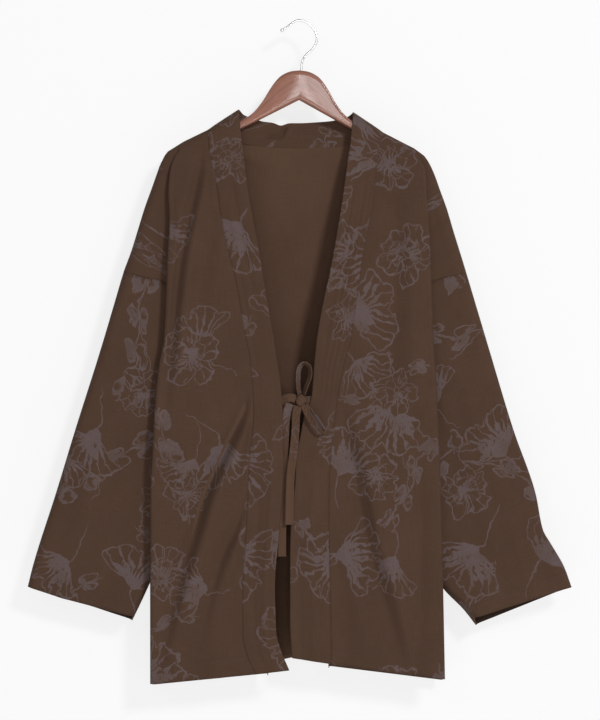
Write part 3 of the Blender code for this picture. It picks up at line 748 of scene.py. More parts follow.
def armhole_bow(side, w):
    """How far the armhole seam lies above the straight line between its ends."""
    inner, outer = SLEEVES[side]("inner_w", 0), SLEEVES[side]("outer_w", 0)
    share = min(max((w - inner) / (outer - inner), 0), 1)
    return SLEEVE_SEAM_BOW * math.sin(math.pi * share)


def bowed(side, points, strength):
    return [(flat(p.x, p.y - strength * armhole_bow(side, p.x)), depth) for p, depth in points]


def fold_turn(side, k, inner):
    fold, pleat = fold_corners(side, k)
    return turn(fold, inner, pleat, DEPTHS("fold", k), DEPTHS("return", k) + return_lean(k))


def pleat_end(side, k):
    """The pleat above the underarm and everything out to the rim."""
    fold, pleat = fold_corners(side, k)
    rim = flat(RIMS[side]("rim_w", k), RIMS[side]("rim_drop", k))
    sleeve_depth = DEPTHS("sleeve", k)
    pleat_turn = turn(pleat, fold, rim, DEPTHS("return", k) - return_lean(k), sleeve_depth)
    end = rounded_rim(pleat, rim, sleeve_depth)
    outer = run(pleat_turn[-1], end[0], shares(LAYER_STEPS * 2)) + end
    return pleat_turn, bowed(side, outer, k * k)


def side_seam(side, k):
    """The side seam below the underarm, with as many points as the pleat has."""
    fold, pleat = fold_corners(side, k)
    outward = (fold - pleat).normalized()
    depth = DEPTHS("return", k)
    radius = depth * SIDE_SEAM_ROUNDING
    corner = []
    straight = len(TURN_ANGLES) - SEAM_STEPS - 1
    for step in range(SEAM_STEPS + 1):
        angle = math.pi / 2 * step / SEAM_STEPS
        corner.append((pleat + outward * radius * (1 - math.sin(angle)),
                       depth - radius * (1 - math.cos(angle))))
    return corner + [(pleat, (depth - radius) * (1 - (i + 1) / straight)) for i in range(straight)]


def beyond_fold(side, k, inner):
    """The path outward of a panel's face: (turn and returning layer, part out to the rim or None)."""
    points = fold_turn(side, k, inner)
    if k <= 1:
        last, outer = pleat_end(side, k)
    elif k >= SIDE_SEAM_TURNS:
        last, outer = side_seam(side, k), None
    else:
        share = (k - 1) / (SIDE_SEAM_TURNS - 1)
        above, below = pleat_end(side, 1)[0], side_seam(side, SIDE_SEAM_TURNS)
        last = [(p.lerp(q, share), a + (b - a) * share) for (p, a), (q, b) in zip(above, below)]
        outer = None
    return points + run(points[-1], last[0], shares(LAYER_STEPS)) + last, outer


# %% Stations down a panel
def stations():
    """Close together where the cloth turns over the hanger, then one every few millimetres."""
    turning = [0, .002, .005, .01, .016, .023, .03, .045, .06, .075, .09, .105]
    upper = [.12 + .02 * i for i in range(44)]
    lower = [1 + i / 76 for i in range(1, 77)]
    return turning + upper + [1.0] + lower


STATIONS = stations()
print(len(STATIONS), "stations down a panel")


# %% [markdown]
# ## Soft folds
#
# Cloth that hangs from two points keeps long soft folds. Each is marked as it runs: a line down the
# panel, how wide the fold is on its inner and its outer flank, and how high it stands (or how deep it
# sinks, where the height is below 0). One flank is steeper than the other on most real folds, and no two
# have the same length. A very slow, weak noise on top keeps the stretches between them from being dead
# flat.

# %% The fold lines
def fold(inner_flank, outer_flank, *rows):
    """A soft fold down the line of (drop, w, height) rows."""
    return inner_flank, outer_flank, Table("drop w height", rows)


FACE_FOLDS = {
    (RIGHT, FRONT): [
        fold(26, 19, (160, 128, 0), (195, 141, 3.4), (253, 154, 6.8), (309, 166, 7.0), (353, 174, 6.6),
             (411, 180, 6.0), (470, 186, 4.6), (560, 194, 0)),
        fold(12, 8, (165, 118, 0), (200, 128, 2.4), (253, 139, 4.2), (309, 151, 4.6), (353, 159, 4.6),
             (411, 166, 4.2), (470, 172, 3.0), (560, 182, 0)),
        fold(10, 9, (160, 131, 0), (195, 142, -5.4), (253, 154, -8.6), (309, 166, -9.8), (353, 174, -10.4),
             (411, 181, -10.4), (470, 187, -9.0), (538, 193, -5.0), (620, 200, 0)),
        fold(16, 12, (180, 104, 0), (260, 108, 1.6), (400, 122, 2.4), (520, 136, 1.6), (640, 140, 0)),
        fold(20, 10, (510, 36, 0), (572, 61, 8.4), (620, 86, 10.6), (703, 122, 11.0), (756, 137, 10.0),
             (814, 155, 8.0), (893, 176, 4.6), (965, 192, 1.6)),
        fold(10, 13, (520, 62, 0), (572, 81, -6.2), (620, 105, -7.2), (703, 141, -7.2), (756, 156, -7.0),
             (814, 174, -5.8), (893, 194, -3.2), (965, 208, 0)),
        fold(15, 9, (640, 34, 0), (699, 52, 6.2), (747, 77, 8.0), (781, 95, 6.6),
             (840, 116, 3.4), (930, 138, 0)),
        fold(8, 11, (650, 52, 0), (699, 69, -4.0), (747, 94, -5.6), (781, 112, -4.8),
             (850, 131, -2.2), (930, 148, 0)),
        fold(20, 16, (850, 116, 0), (920, 120, 2.4), (985, 122, 3.0))],
    (LEFT, FRONT): [
        fold(14, 9, (550, 58, 0), (646, 76, -5.4), (768, 100, -6.4), (857, 125, -5.4), (940, 150, -1.6)),
        fold(9, 20, (550, 74, 0), (646, 98, 6.4), (768, 122, 7.4), (857, 147, 6.2), (950, 169, 2.0)),
        fold(11, 9, (730, 60, 0), (800, 72, 2.8), (880, 92, 3.0), (950, 104, 1.0)),
        fold(18, 14, (236, 132, 0), (330, 140, -2.8), (450, 138, -4.0), (560, 128, -2.0), (640, 122, 0)),
        fold(14, 18, (220, 158, 0), (330, 165, 2.8), (460, 168, 3.2), (600, 172, 0)),
        fold(14, 11, (620, 172, 0), (740, 178, -3.2), (860, 176, -3.6), (965, 172, -2.0)),
        fold(14, 14, (820, 62, 0), (900, 68, -2.4), (960, 70, -3.0))],
    (RIGHT, BACK): [
        fold(15, 10, (200, 128, 0), (330, 138, -3.0), (520, 150, -4.6), (700, 152, 0)),
        fold(13, 18, (320, 84, 0), (480, 74, 3.6), (640, 62, 4.2), (760, 58, 0)),
        fold(18, 11, (540, 104, 0), (700, 98, 4.8), (860, 96, 6.0), (990, 102, 4.2)),
        fold(10, 15, (620, 132, 0), (760, 134, -3.4), (900, 140, -4.4), (990, 144, -3.0)),
        fold(14, 11, (700, 30, 0), (820, 26, -3.0), (960, 20, -3.6))],
    (LEFT, BACK): [
        fold(16, 11, (210, 118, 0), (360, 126, -3.2), (520, 138, -3.8), (650, 142, 0)),
        fold(12, 16, (400, 60, 0), (560, 70, 3.0), (700, 78, 3.8), (800, 80, 0)),
        fold(18, 12, (520, 96, 0), (680, 106, 4.6), (840, 114, 5.8), (980, 122, 4.2)),
        fold(10, 16, (600, 140, 0), (740, 148, -3.6), (880, 152, -4.2), (980, 156, -2.6)),
        fold(15, 11, (660, 40, 0), (800, 46, -3.4), (970, 56, -4.0))]}

FLAP_FOLDS = {   # on the part between a body's outer fold and its rim, above the sleeve
    (RIGHT, FRONT): [fold(8, 11, (225, 199, 0), (300, 206, -2.8), (380, 204, -3.4), (470, 204, -1.4)),
                     fold(10, 9, (250, 214, 0), (320, 222, 1.8), (400, 226, 1.6), (450, 228, 0))],
    (LEFT, FRONT): [fold(9, 11, (230, 196, 0), (300, 201, -1.4), (400, 206, -1.8), (470, 208, -.8))],
    (RIGHT, BACK): [fold(10, 12, (230, 200, 0), (320, 208, -1.6), (440, 206, -1.8), (480, 206, -.8))],
    (LEFT, BACK): [fold(10, 12, (236, 196, 0), (330, 204, -1.8), (440, 200, -1.6), (480, 200, -.8))]}

SLACK_ACROSS, SLACK_DOWN = 70, 210      # how long the weak unevenness is, in millimetres
SLACK_HEIGHT = 0.9


def fold_height(folds, w, drop):
    """How far the soft folds move the cloth outward at a place, in millimetres."""
    height = 0.0
    for inner_flank, outer_flank, track in folds:
        if track.keys[0] < drop < track.keys[-1]:
            away = w - track("w", drop)
            flank = inner_flank if away < 0 else outer_flank
            height += track("height", drop) * math.exp(-(away / flank) ** 2)
    return height


SLACK_SEEDS = {"front": 1.0, "front flap": 2.0, "sleeve front": 3.0, "sleeve rear": 4.0,
               "back": 5.0, "back flap": 6.0}


def slack(x, drop, seed):
    """The weak unevenness of cloth that hangs freely."""
    broad = noise.noise(Vector((x / SLACK_ACROSS, drop / SLACK_DOWN, seed)))
    small = noise.noise(Vector((x / SLACK_ACROSS * 2.7, drop / SLACK_DOWN * 2.3, seed + 9.5)))
    return SLACK_HEIGHT * (broad + small * .35)


# %% [markdown]
# ## Fronts and back
#
# The back has one more shape to carry: behind the neck its top edge dips in an arc, and the cloth there
# is stretched over the hanger's arms. So its points start on that arc at the top and drift to even places
# across the panel a hand's width lower.

# %% Rows of a front
COLLAR_EASE = 14      # folds start this far from the collar seam
FOLD_EASE = 9         # and end this far from the body's outer fold
HEM_DEPTH = 26        # the turned-up hem
HANG_STATION = .2     # the station where the soft folds reach their full height


def placed(side, facing, path):
    return [place(side * p.x, p.y, facing * depth) for p, depth in path]


def with_folds(side, face, seed, fold_lines, edge_w=None):
    """The path of a layer with its soft folds and its slack."""
    out = []
    for p, depth in face:
        ease = 1.0 if edge_w is None else eased((p.x - edge_w) / COLLAR_EASE)
        rise = fold_height(fold_lines, p.x, p.y) + slack(side * p.x, p.y, seed)
        out.append((p, depth + rise * ease))
    return out


def front_sheet(side):
    rows, cuts, marks = [], [], []
    width = 0
    for k in STATIONS:
        inner = seam_point(side, k)
        layers, outer = beyond_fold(side, k, inner)
        face = run((inner, DEPTHS("seam", k)), layers[0], [i / FACE_STEPS for i in range(FACE_STEPS)])
        hang = eased(k / HANG_STATION)
        bend = layers[0][0].x
        face = [(p, depth + (q - depth) * hang * eased((bend - p.x) / FOLD_EASE)) for (p, depth), (_, q) in
                zip(face, with_folds(side, face, SLACK_SEEDS["front"], FACE_FOLDS[side, FRONT], inner.x))]
        if outer is not None:
            body, rim = outer[:-RIM_STEPS - 1], outer[-RIM_STEPS - 1:]
            outer = with_folds(side, body, SLACK_SEEDS["front flap"], FLAP_FOLDS[side, FRONT]) + rim
        path = face + layers + (outer or [])
        row = placed(side, FRONT, path)
        reach = measured(row)
        rows.append(row)
        cuts.append([(side * (inner.x + r), -p.y) for r, (p, _) in zip(reach, path)])
        marks.append(list(reach))
        width = max(width, len(row))
    hem = rows[-1]
    for row, mark in zip(rows, marks):
        for i in range(len(row)):
            seam_mark = mark[i]
            above = (row[i].z - hem[min(i, len(hem) - 1)].z) / MM - HEM_DEPTH
            mark[i] = min((seam_mark, above if i < len(hem) else FAR), key=abs)
    for row, cut, mark in zip(rows, cuts, marks):
        missing = width - len(row)
        row += [None] * missing
        cut += [(0, 0)] * missing
        mark += [FAR] * missing
    armhole_row = STATIONS.index(1.0)
    for r in range(armhole_row + 1):
        for i in range(len(hem), width):
            marks[r][i] = (rows[r][i].z - rows[armhole_row][i].z) / MM
    return Sheet(rows, cuts, marks)


# %% The fronts
front_sheets = {side: front_sheet(side) for side in (RIGHT, LEFT)}
fronts = {side: shell(name, front_sheets[side], side == LEFT, printed_cloth, plain_cloth, CLOTH_WALL)
          for side, name in ((RIGHT, "front_right_cloth"), (LEFT, "front_left_cloth"))}

# %% Rows of the back
HALF_POINTS = 38      # on the back's face, from beside its outer fold to beside the middle
NECK_STITCH_FROM = .42    # the share of those points where the line of stitching at the neck starts


def blended(first, second):
    """The larger of two depths, with a soft passage where they are alike."""
    return (first ** 4 + second ** 4) ** .25


def neck_line(side):
    """The top edge of the back, from its outer fold (t 0) over the hanger's arm to the middle (t 1)."""
    start = fold_turn(side, 0, seam_point(side, 0))[0][0]
    corner = seam_point(side, 0)
    ridge = [start.lerp(corner, share) for share in (0, .25, .5, .75, 1)]
    marks = [(p.x, p.y, .5) for p in ridge] + [row[:3] for row in NECKS[side]] + [NECK_MIDDLE[:3]]
    line_table = Table("t w drop y", [(i / (len(marks) - 1), *mark) for i, mark in enumerate(marks)])
    line_table.slopes["drop"][-1] = line_table.slopes["y"][-1] = 0.0
    return line_table


NECK_LINES = {side: neck_line(side) for side in (RIGHT, LEFT)}


def back_point(side, k, t):
    """A point of the back's face without its soft folds, as (flat point, depth)."""
    edge = NECK_LINES[side]
    top_w, top_drop, top_y = edge("w", t), edge("drop", t), edge("y", t)
    fold_p, _ = fold_turn(side, k, flat(0, FOLDS[side]("fold_drop", k)))[0]
    fold_top = FOLDS[side]("fold_drop", 0)
    share = 1 - t
    w = top_w + (share * fold_p.x - top_w) * eased(k / NECK_ENDS)
    if k <= 1:
        bend = FOLDS[side]("fold_drop", k) - fold_top - (UNDERARM_DROP - fold_top) * k
        drop = top_drop + (UNDERARM_DROP - top_drop) * k + bend * share
    else:
        hem = BACK_HEM_MIDDLE + (FOLD_HEM_DROP[side] + BACK_HEM_EXTRA - BACK_HEM_MIDDLE) * share
        drop = UNDERARM_DROP + (hem - UNDERARM_DROP) * (k - 1)
    hung = DEPTHS("seam", k) + (DEPTHS("fold", k) - DEPTHS("seam", k)) * share
    return flat(w, drop), (blended(hung, top_y) if k else top_y)


def back_half(side, k):
    """The back at a station from its rim, or its side seam, to beside the middle."""
    layers, outer = beyond_fold(side, k, flat(0, FOLDS[side]("fold_drop", k)))
    lower = flat(0, BACK_HEM_EXTRA * max(k - 1, 0))
    layers = [(p + lower, depth) for p, depth in layers]
    face = [back_point(side, k, j / HALF_POINTS) for j in range(1, HALF_POINTS)]
    hang = eased(k / HANG_STATION)
    face = [(p, depth + (q - depth) * hang) for (p, depth), (_, q) in
            zip(face, with_folds(side, face, SLACK_SEEDS["back"], FACE_FOLDS[side, BACK]))]
    if outer is not None:
        body, rim = outer[:-RIM_STEPS - 1], outer[-RIM_STEPS - 1:]
        outer = with_folds(side, body, SLACK_SEEDS["back flap"], FLAP_FOLDS[side, BACK]) + rim
    return list(reversed(outer or [])) + list(reversed(layers)) + face


def back_sheet():
    rows, cuts, marks = [], [], []
    for k in STATIONS:
        right, left = back_half(RIGHT, k), back_half(LEFT, k)
        middle, depth = back_point(LEFT, k, 1)
        ease = eased(k / HANG_STATION)
        centre = place(0, middle.y, depth + slack(0, middle.y, SLACK_SEEDS["back"]) * ease)
        row = placed(RIGHT, BACK, right) + [centre] + placed(LEFT, BACK, reversed(left))
        reach = measured(row)
        rows.append(row)
        cuts.append([(r - reach[len(right)], p.z / MM) for r, p in zip(reach, row)])
    width = max(len(row) for row in rows)
    lead = (width - len(rows[-1])) // 2
    for row, cut in zip(rows, cuts):
        missing = (width - len(row)) // 2
        row[:] = [None] * missing + row + [None] * missing
        cut[:] = [(0, 0)] * missing + cut + [(0, 0)] * missing
    armhole_row = STATIONS.index(1.0)
    neck_from = lead + len(beyond_fold(RIGHT, 0, flat(0, 0))[0]) + int(HALF_POINTS * NECK_STITCH_FROM)
    for r, row in enumerate(rows):
        mark_row = []
        for c, point in enumerate(row):
            if point is None:
                mark_row.append(FAR)
            elif rows[-1][c] is None:
                mark_row.append((point.z - rows[armhole_row][c].z) / MM)
            else:
                above_hem = (point.z - rows[-1][c].z) / MM - HEM_DEPTH
                below_neck = (rows[0][c].z - point.z) / MM if neck_from < c < width - neck_from else FAR
                mark_row.append(min((above_hem, below_neck), key=abs))
        marks.append(mark_row)
    return Sheet(rows, cuts, marks)


# %% The back
back_grid = back_sheet()
back = shell("back_cloth", back_grid, False, printed_cloth, plain_cloth, CLOTH_WALL)

# %% [markdown]
# ## Sleeves
#
# Each sleeve is one trapezoid, folded along its outer edge and sewn to a tube under the arm, so its
# sections are rings: out along the front from the underarm, round the outer fold and back behind. At the
# armhole the ring starts a little inside the body's edge. That leaves the shallow groove of a seam that
# was pressed to one side, and no light gets through. Beside its seam the front of the cuff hangs a
# little shorter than the rear, so that the opening shows. The inner face is the plain weave in a much
# darker tone: painted shade, for the little light that gets into a hanging sleeve.

# %% A sleeve's rings
SLEEVE_STEPS, SLEEVE_STATIONS = 24, 76
STATION_POWER = 1.12      # above 1, the rings lie closer together near the armhole
GROW_ROUND, GROW_DOWN = 6, 7    # folds reach full height a sixth of the way round, a seventh down
TUCK_LENGTH, TUCK_DEPTH, TUCK_RISE = 6.0, 0.8, 1.8
CUFF_HEM_DEPTH = 22
CUFF_LIFTS = {RIGHT: 8.0, LEFT: 13.0}     # how far the front of the cuff hangs shorter near the seam
CUFF_LIFT_REACH = {RIGHT: .62, LEFT: .95}
CUFF_LIFT_FROM = .80
CUFF_LIFT_FULL = .07      # the share of the way round, from the seam, at which the lift is full

SLEEVE_FOLDS = {
    (RIGHT, FRONT): [
        fold(17, 12, (430, 180, 0), (540, 196, -3.0), (660, 232, -4.0), (780, 272, -2.8), (880, 300, 0)),
        fold(12, 16, (440, 228, 0), (560, 268, 2.6), (690, 308, 3.4), (860, 352, 1.2)),
        fold(13, 13, (560, 118, 0), (660, 158, 2.6), (760, 206, 3.2), (880, 258, 1.6))],
    (LEFT, FRONT): [
        fold(18, 13, (430, 150, 0), (560, 190, -3.4), (690, 240, -4.2), (800, 282, -3.0), (890, 312, -1.2)),
        fold(12, 15, (450, 205, 0), (570, 250, 2.8), (700, 300, 3.6), (850, 345, 1.8)),
        fold(9, 12, (700, 318, 0), (757, 342, -3.0), (800, 356, -3.8), (850, 372, 0))],
    (RIGHT, BACK): [
        fold(16, 13, (440, 160, 0), (580, 206, 2.2), (720, 262, 2.8), (860, 312, 1.4)),
        fold(12, 14, (500, 140, 0), (620, 172, -1.8), (760, 228, -2.4), (880, 274, -1.0))],
    (LEFT, BACK): [
        fold(15, 12, (440, 170, 0), (570, 210, 2.4), (700, 262, 2.4), (850, 318, 1.0)),
        fold(13, 15, (480, 118, 0), (610, 160, -2.0), (750, 216, -2.6), (880, 280, -1.2))]}


def reach_round(points):
    """How far along a row each point lies, in millimetres."""
    out = [0.0]
    for a, b in zip(points, points[1:]):
        out.append(out[-1] + (b - a).length / MM)
    return out


def sleeve_half(side, facing, s, outer, inner, depth):
    """One face of a ring, from the underarm to the outer fold."""
    start = list(reversed(rounded_rim(outer, inner, depth)))
    end = rounded_rim(inner, outer, depth)
    at = shares(SLEEVE_STEPS)
    middle = run(start[-1], end[0], at)
    seed = SLACK_SEEDS["sleeve front" if facing == FRONT else "sleeve rear"]
    folded = with_folds(side, middle, seed, SLEEVE_FOLDS[side, facing])
    middle = [(p, depth_flat + (q - depth_flat) * eased(min(a, 1 - a) * GROW_ROUND) * eased(s * GROW_DOWN))
              for a, (p, depth_flat), (_, q) in zip(at, middle, folded)]
    return placed(side, facing, bowed(side, start + middle + end, (1 - s) ** 2))


def lifted(side, points, s, up):
    """The front of a ring with its part beside the seam drawn up, so that the cuff stands open."""
    out = []
    for i, point in enumerate(points):
        share = i / (len(points) - 1)
        lift = CUFF_LIFTS[side] * eased(share / CUFF_LIFT_FULL) * max(1 - share / CUFF_LIFT_REACH[side], 0)
        lift *= eased((s - CUFF_LIFT_FROM) / (1 - CUFF_LIFT_FROM))
        out.append(point + place(side * up.x, up.y, 0) * lift)
    return out


def sleeve_sheet(side):
    table = SLEEVES[side]
    top, bottom = (flat(table("outer_w", s), table("outer_drop", s)) for s in (0, 1))
    length, up = (bottom - top).length, (top - bottom).normalized()
    rows, cuts, marks = [], [], []
    for i in range(SLEEVE_STATIONS + 1):
        s = (i / SLEEVE_STATIONS) ** STATION_POWER
        tuck = 1 - eased(s * length / TUCK_LENGTH)
        outer = flat(table("outer_w", s) - tuck * TUCK_DEPTH, table("outer_drop", s) - tuck * TUCK_RISE)
        inner = flat(table("inner_w", s) + tuck * TUCK_DEPTH, table("inner_drop", s) - tuck * TUCK_RISE)
        depth = table("half_depth", s) - tuck * TUCK_DEPTH
        front = lifted(side, sleeve_half(side, FRONT, s, outer, inner, depth), s, up)
        rear = sleeve_half(side, BACK, s, outer, inner, depth)
        row = front + list(reversed(rear[1:-1]))
        reach = reach_round(row + [row[0]])
        crease = reach[len(front) - 1]
        rows.append(row)
        cuts.append([(side * (r - crease), -s * length) for r in reach])
        nearest = min((s * length - TUCK_LENGTH * .6, (1 - s) * length - CUFF_HEM_DEPTH), key=abs)
        marks.append([nearest] * len(row))
    return Sheet(rows, cuts, marks, around=True)


# %% The sleeves
sleeve_sheets = {side: sleeve_sheet(side) for side in (RIGHT, LEFT)}
# painted shade: the sleeves' inner face is the plain weave darkened to less than half its tone
sleeve_inside_painted_shade = cloth_material("sleeve_inside_painted_shade", printed=False, tone=.42)
sleeves = {side: shell(name, sleeve_sheets[side], side == LEFT, printed_cloth, sleeve_inside_painted_shade, CLOTH_WALL)
           for side, name in ((RIGHT, "sleeve_right_cloth"), (LEFT, "sleeve_left_cloth"))}

# %% [markdown]
# ## The collar band
#
# The band is one long strip folded double and sewn on with both its edges together, so its free edge is a
# fold and both its faces show the outside of the cloth. It runs up the right front, turns over the
# hanger's arm, crosses behind the neck and comes down the left front. It is modelled as a flat closed
# tube, because its two layers lie pressed on each other. A strip that has been ironed double keeps fine
# ridges along its length, and it crumples a little where it has to bend round the neck.

# %% The band's two edges
BAND_WIDTH = .050        # of the finished band, in metres
BAND_HALF = 1.1          # half the thickness of the two layers
BAND_STEPS = 20
SEAM_PRESSED = .55       # the share of its thickness that is left at the sewn edge
NECK_STEPS = 64
EDGE_ANGLES = (60, 30, 0, -30, -60)
OVER_ARM_TABLE = Table("k out rise depth", list(reversed(OVER_ARM)) + [
    (FIRST_BAND_STATION, 0, 0, DEPTHS("seam", FIRST_BAND_STATION) + BAND_STANDS_OUT)])


def band_front_edges(side, k):
    """The band's sewn and free edge at a station of the front."""
    seam = seam_point(side, k)
    sewn = place(side * seam.x, seam.y, -DEPTHS("seam", k) if k else 0)
    if k >= FIRST_BAND_STATION:
        free_drop = seam.y + (BAND_HEM_DROP[side] - FRONT_HEM_DROP[side]) * max(k - 1, 0)
        free = place(side * OPENINGS[side]("free_w", seam.y), free_drop, -DEPTHS("seam", k) - BAND_STANDS_OUT)
    else:
        free_w = OPENINGS[side]("free_w", seam_drop(side, FIRST_BAND_STATION)) + OVER_ARM_TABLE("out", k)
        free = place(side * free_w, seam.y - OVER_ARM_TABLE("rise", k), -OVER_ARM_TABLE("depth", k))
    return sewn, free


def band_neck_edges(side):
    """The band's edges behind the neck, from the shoulder line to beside the middle."""
    sewn, free = band_front_edges(side, 0)
    start = (abs(sewn.x) / MM, -sewn.z / MM, 0, abs(free.x) / MM, -free.z / MM, 0)
    marks = [start] + NECKS[side] + [NECK_MIDDLE]
    table = Table("t seam_w seam_drop seam_y free_w free_drop free_y",
                  [(i / (len(marks) - 1), *mark) for i, mark in enumerate(marks)])
    for name in ("seam_drop", "seam_y", "free_drop", "free_y"):
        table.slopes[name][-1] = 0.0
    return [(place(side * table("seam_w", t), table("seam_drop", t), table("seam_y", t)),
             place(side * table("free_w", t), table("free_drop", t), table("free_y", t)))
            for t in [i / NECK_STEPS for i in range(1, NECK_STEPS + 1)]]


def band_edges():
    """The whole band as (sewn edge, free edge), right hem to left hem."""
    halves = {side: [band_front_edges(side, k) for k in reversed(STATIONS)] + band_neck_edges(side)
              for side in (RIGHT, LEFT)}
    return halves[RIGHT] + list(reversed(halves[LEFT][:-1]))


# %% Ridges and crumples in the band
def ridge(share, half, *rows):
    """A ridge at a share of the width from the seam, its half width, and its (drop, height) rows."""
    return share, half, Table("drop height", rows)


BAND_RIDGES = {
    RIGHT: [ridge(.22, .05, (240, 0), (330, .45), (470, .35), (560, 0)),
            ridge(.55, .09, (180, 0), (260, .6), (420, .3), (520, 0)),
            ridge(.70, .08, (580, 0), (700, -.7), (880, -.8), (955, -.4)),
            ridge(.35, .10, (600, 0), (760, .8), (955, .6))],
    LEFT: [ridge(.16, .045, (230, 0), (300, .7), (480, .6), (570, 0)),
           ridge(.34, .04, (220, 0), (300, .8), (500, .7), (580, 0)),
           ridge(.52, .045, (260, 0), (360, .8), (520, .6), (600, 0)),
           ridge(.72, .05, (210, 0), (300, .6), (440, .8), (560, 0)),
           ridge(.45, .11, (620, 0), (740, -.8), (943, -.6)),
           ridge(.78, .08, (640, 0), (800, .7), (943, .5))]}
NECK_CREASES = (   # x, half width along the band, share across, half width across, height
    (-37, 11, .50, .08, -4.2), (-10, 26, .52, .07, .8), (34, 30, .36, .06, -.9), (20, 22, .70, .08, 1.1),
    (-44, 9, .80, .14, 1.4), (58, 20, .60, .08, .9), (-26.5, 3.6, .72, .26, -6.6), (-18.5, 5, .70, .24, 1.8))
CRUMPLE_X, CRUMPLE_WIDTH, CRUMPLE_DIP = -27, 8, 4.0     # where the free edge dips behind the neck
RIDGE_GAIN = 2.3          # how much the worn-in ridges stand out beyond their heights in the table


def band_relief(middle, share, front):
    """How far the band's face stands out at a share of its width."""
    side = RIGHT if middle.x < 0 else LEFT
    drop = -middle.z / MM
    height = noise.noise(Vector((share * 1.6, middle.x * 9 + side * 4, drop / 60))) * .45
    if front:
        for at, half, track in BAND_RIDGES[side]:
            if track.keys[0] < drop < track.keys[-1]:
                height += RIDGE_GAIN * track("height", drop) * math.exp(-((share - at) / half) ** 2)
    else:
        for x, along, at, half, rise in NECK_CREASES:
            height += rise * math.exp(-((middle.x / MM - x) / along) ** 2 - ((share - at) / half) ** 2)
    return height


def band_sheet():
    edges = band_edges()
    rows, cuts, marks = [], [], []
    along = 0.0
    for i, (sewn, free) in enumerate(edges):
        before, after = edges[max(i - 1, 0)], edges[min(i + 1, len(edges) - 1)]
        if i:
            along += ((free + sewn) - sum(before, Vector())).length / 2 / MM
        front = (sewn.y + free.y) < 0
        if not front:
            dip = math.exp(-((free.x / MM - CRUMPLE_X) / CRUMPLE_WIDTH) ** 2)
            free = free + Vector((0, -.4, -1)) * (CRUMPLE_DIP * MM * dip)
        tangent = (sum(after, Vector()) - sum(before, Vector())).normalized()
        across = (free - sewn).normalized()
        outward = tangent.cross(across).normalized()
        width = (free - sewn).length
        sewn = sewn - across * (SEWN * MM)
        fade = [eased(min(j / BAND_STEPS, 1 - j / BAND_STEPS) * 5) for j in range(BAND_STEPS + 1)]
        line_points = []
        for j in range(BAND_STEPS + 1):
            share = j / BAND_STEPS
            point = sewn.lerp(free - across * (BAND_HALF * MM), share)
            relief = band_relief(sewn.lerp(free, .5), share, front) * fade[j]
            line_points.append(point + outward * (relief * MM))
        half = outward * (BAND_HALF * MM)
        pressed = [SEAM_PRESSED + (1 - SEAM_PRESSED) * eased(j / BAND_STEPS * 4)
                   for j in range(BAND_STEPS + 1)]
        outer = [p + half * share for p, share in zip(line_points, pressed)]
        inner = [p - half * share for p, share in reversed(list(zip(line_points, pressed)))]
        tip = line_points[-1]
        edge = [tip + half * math.sin(math.radians(a)) + across * (BAND_HALF * MM * math.cos(math.radians(a)))
                for a in EDGE_ANGLES]
        row = outer + edge + inner
        rows.append(row)
        reach = reach_round(row + [row[0]])
        cuts.append([(r, along) for r in reach])
        seam_mark = [r - 1.0 for r in reach[:len(outer)]]
        marks.append(seam_mark + [FAR] * len(edge) + seam_mark[::-1])
    print(f"band: {along / 1000:.3f} m long, {width / MM:.1f} mm wide at its end")
    return Sheet(rows, cuts, marks, around=True)


def close_ends(piece, ring):
    """Close both ends of a flat tube whose rings have "ring" points."""
    mesh = piece.data
    bm = bmesh.new()
    bm.from_mesh(mesh)
    bm.verts.ensure_lookup_table()
    last = len(bm.verts) - ring
    for start, turned in ((0, False), (last, True)):
        for i in range(ring // 2 - 1):
            corners = [bm.verts[start + n] for n in (i, i + 1, ring - 2 - i, ring - 1 - i)]
            bm.faces.new(reversed(corners) if turned else corners)
    bmesh.ops.recalc_face_normals(bm, faces=bm.faces)
    bm.to_mesh(mesh)
    bm.free()


# %% The band
collar_sheet = band_sheet()
collar = shell("collar_band_cloth", collar_sheet, True, printed_cloth, printed_cloth, 0)
close_ends(collar, len(collar_sheet.points[0]))
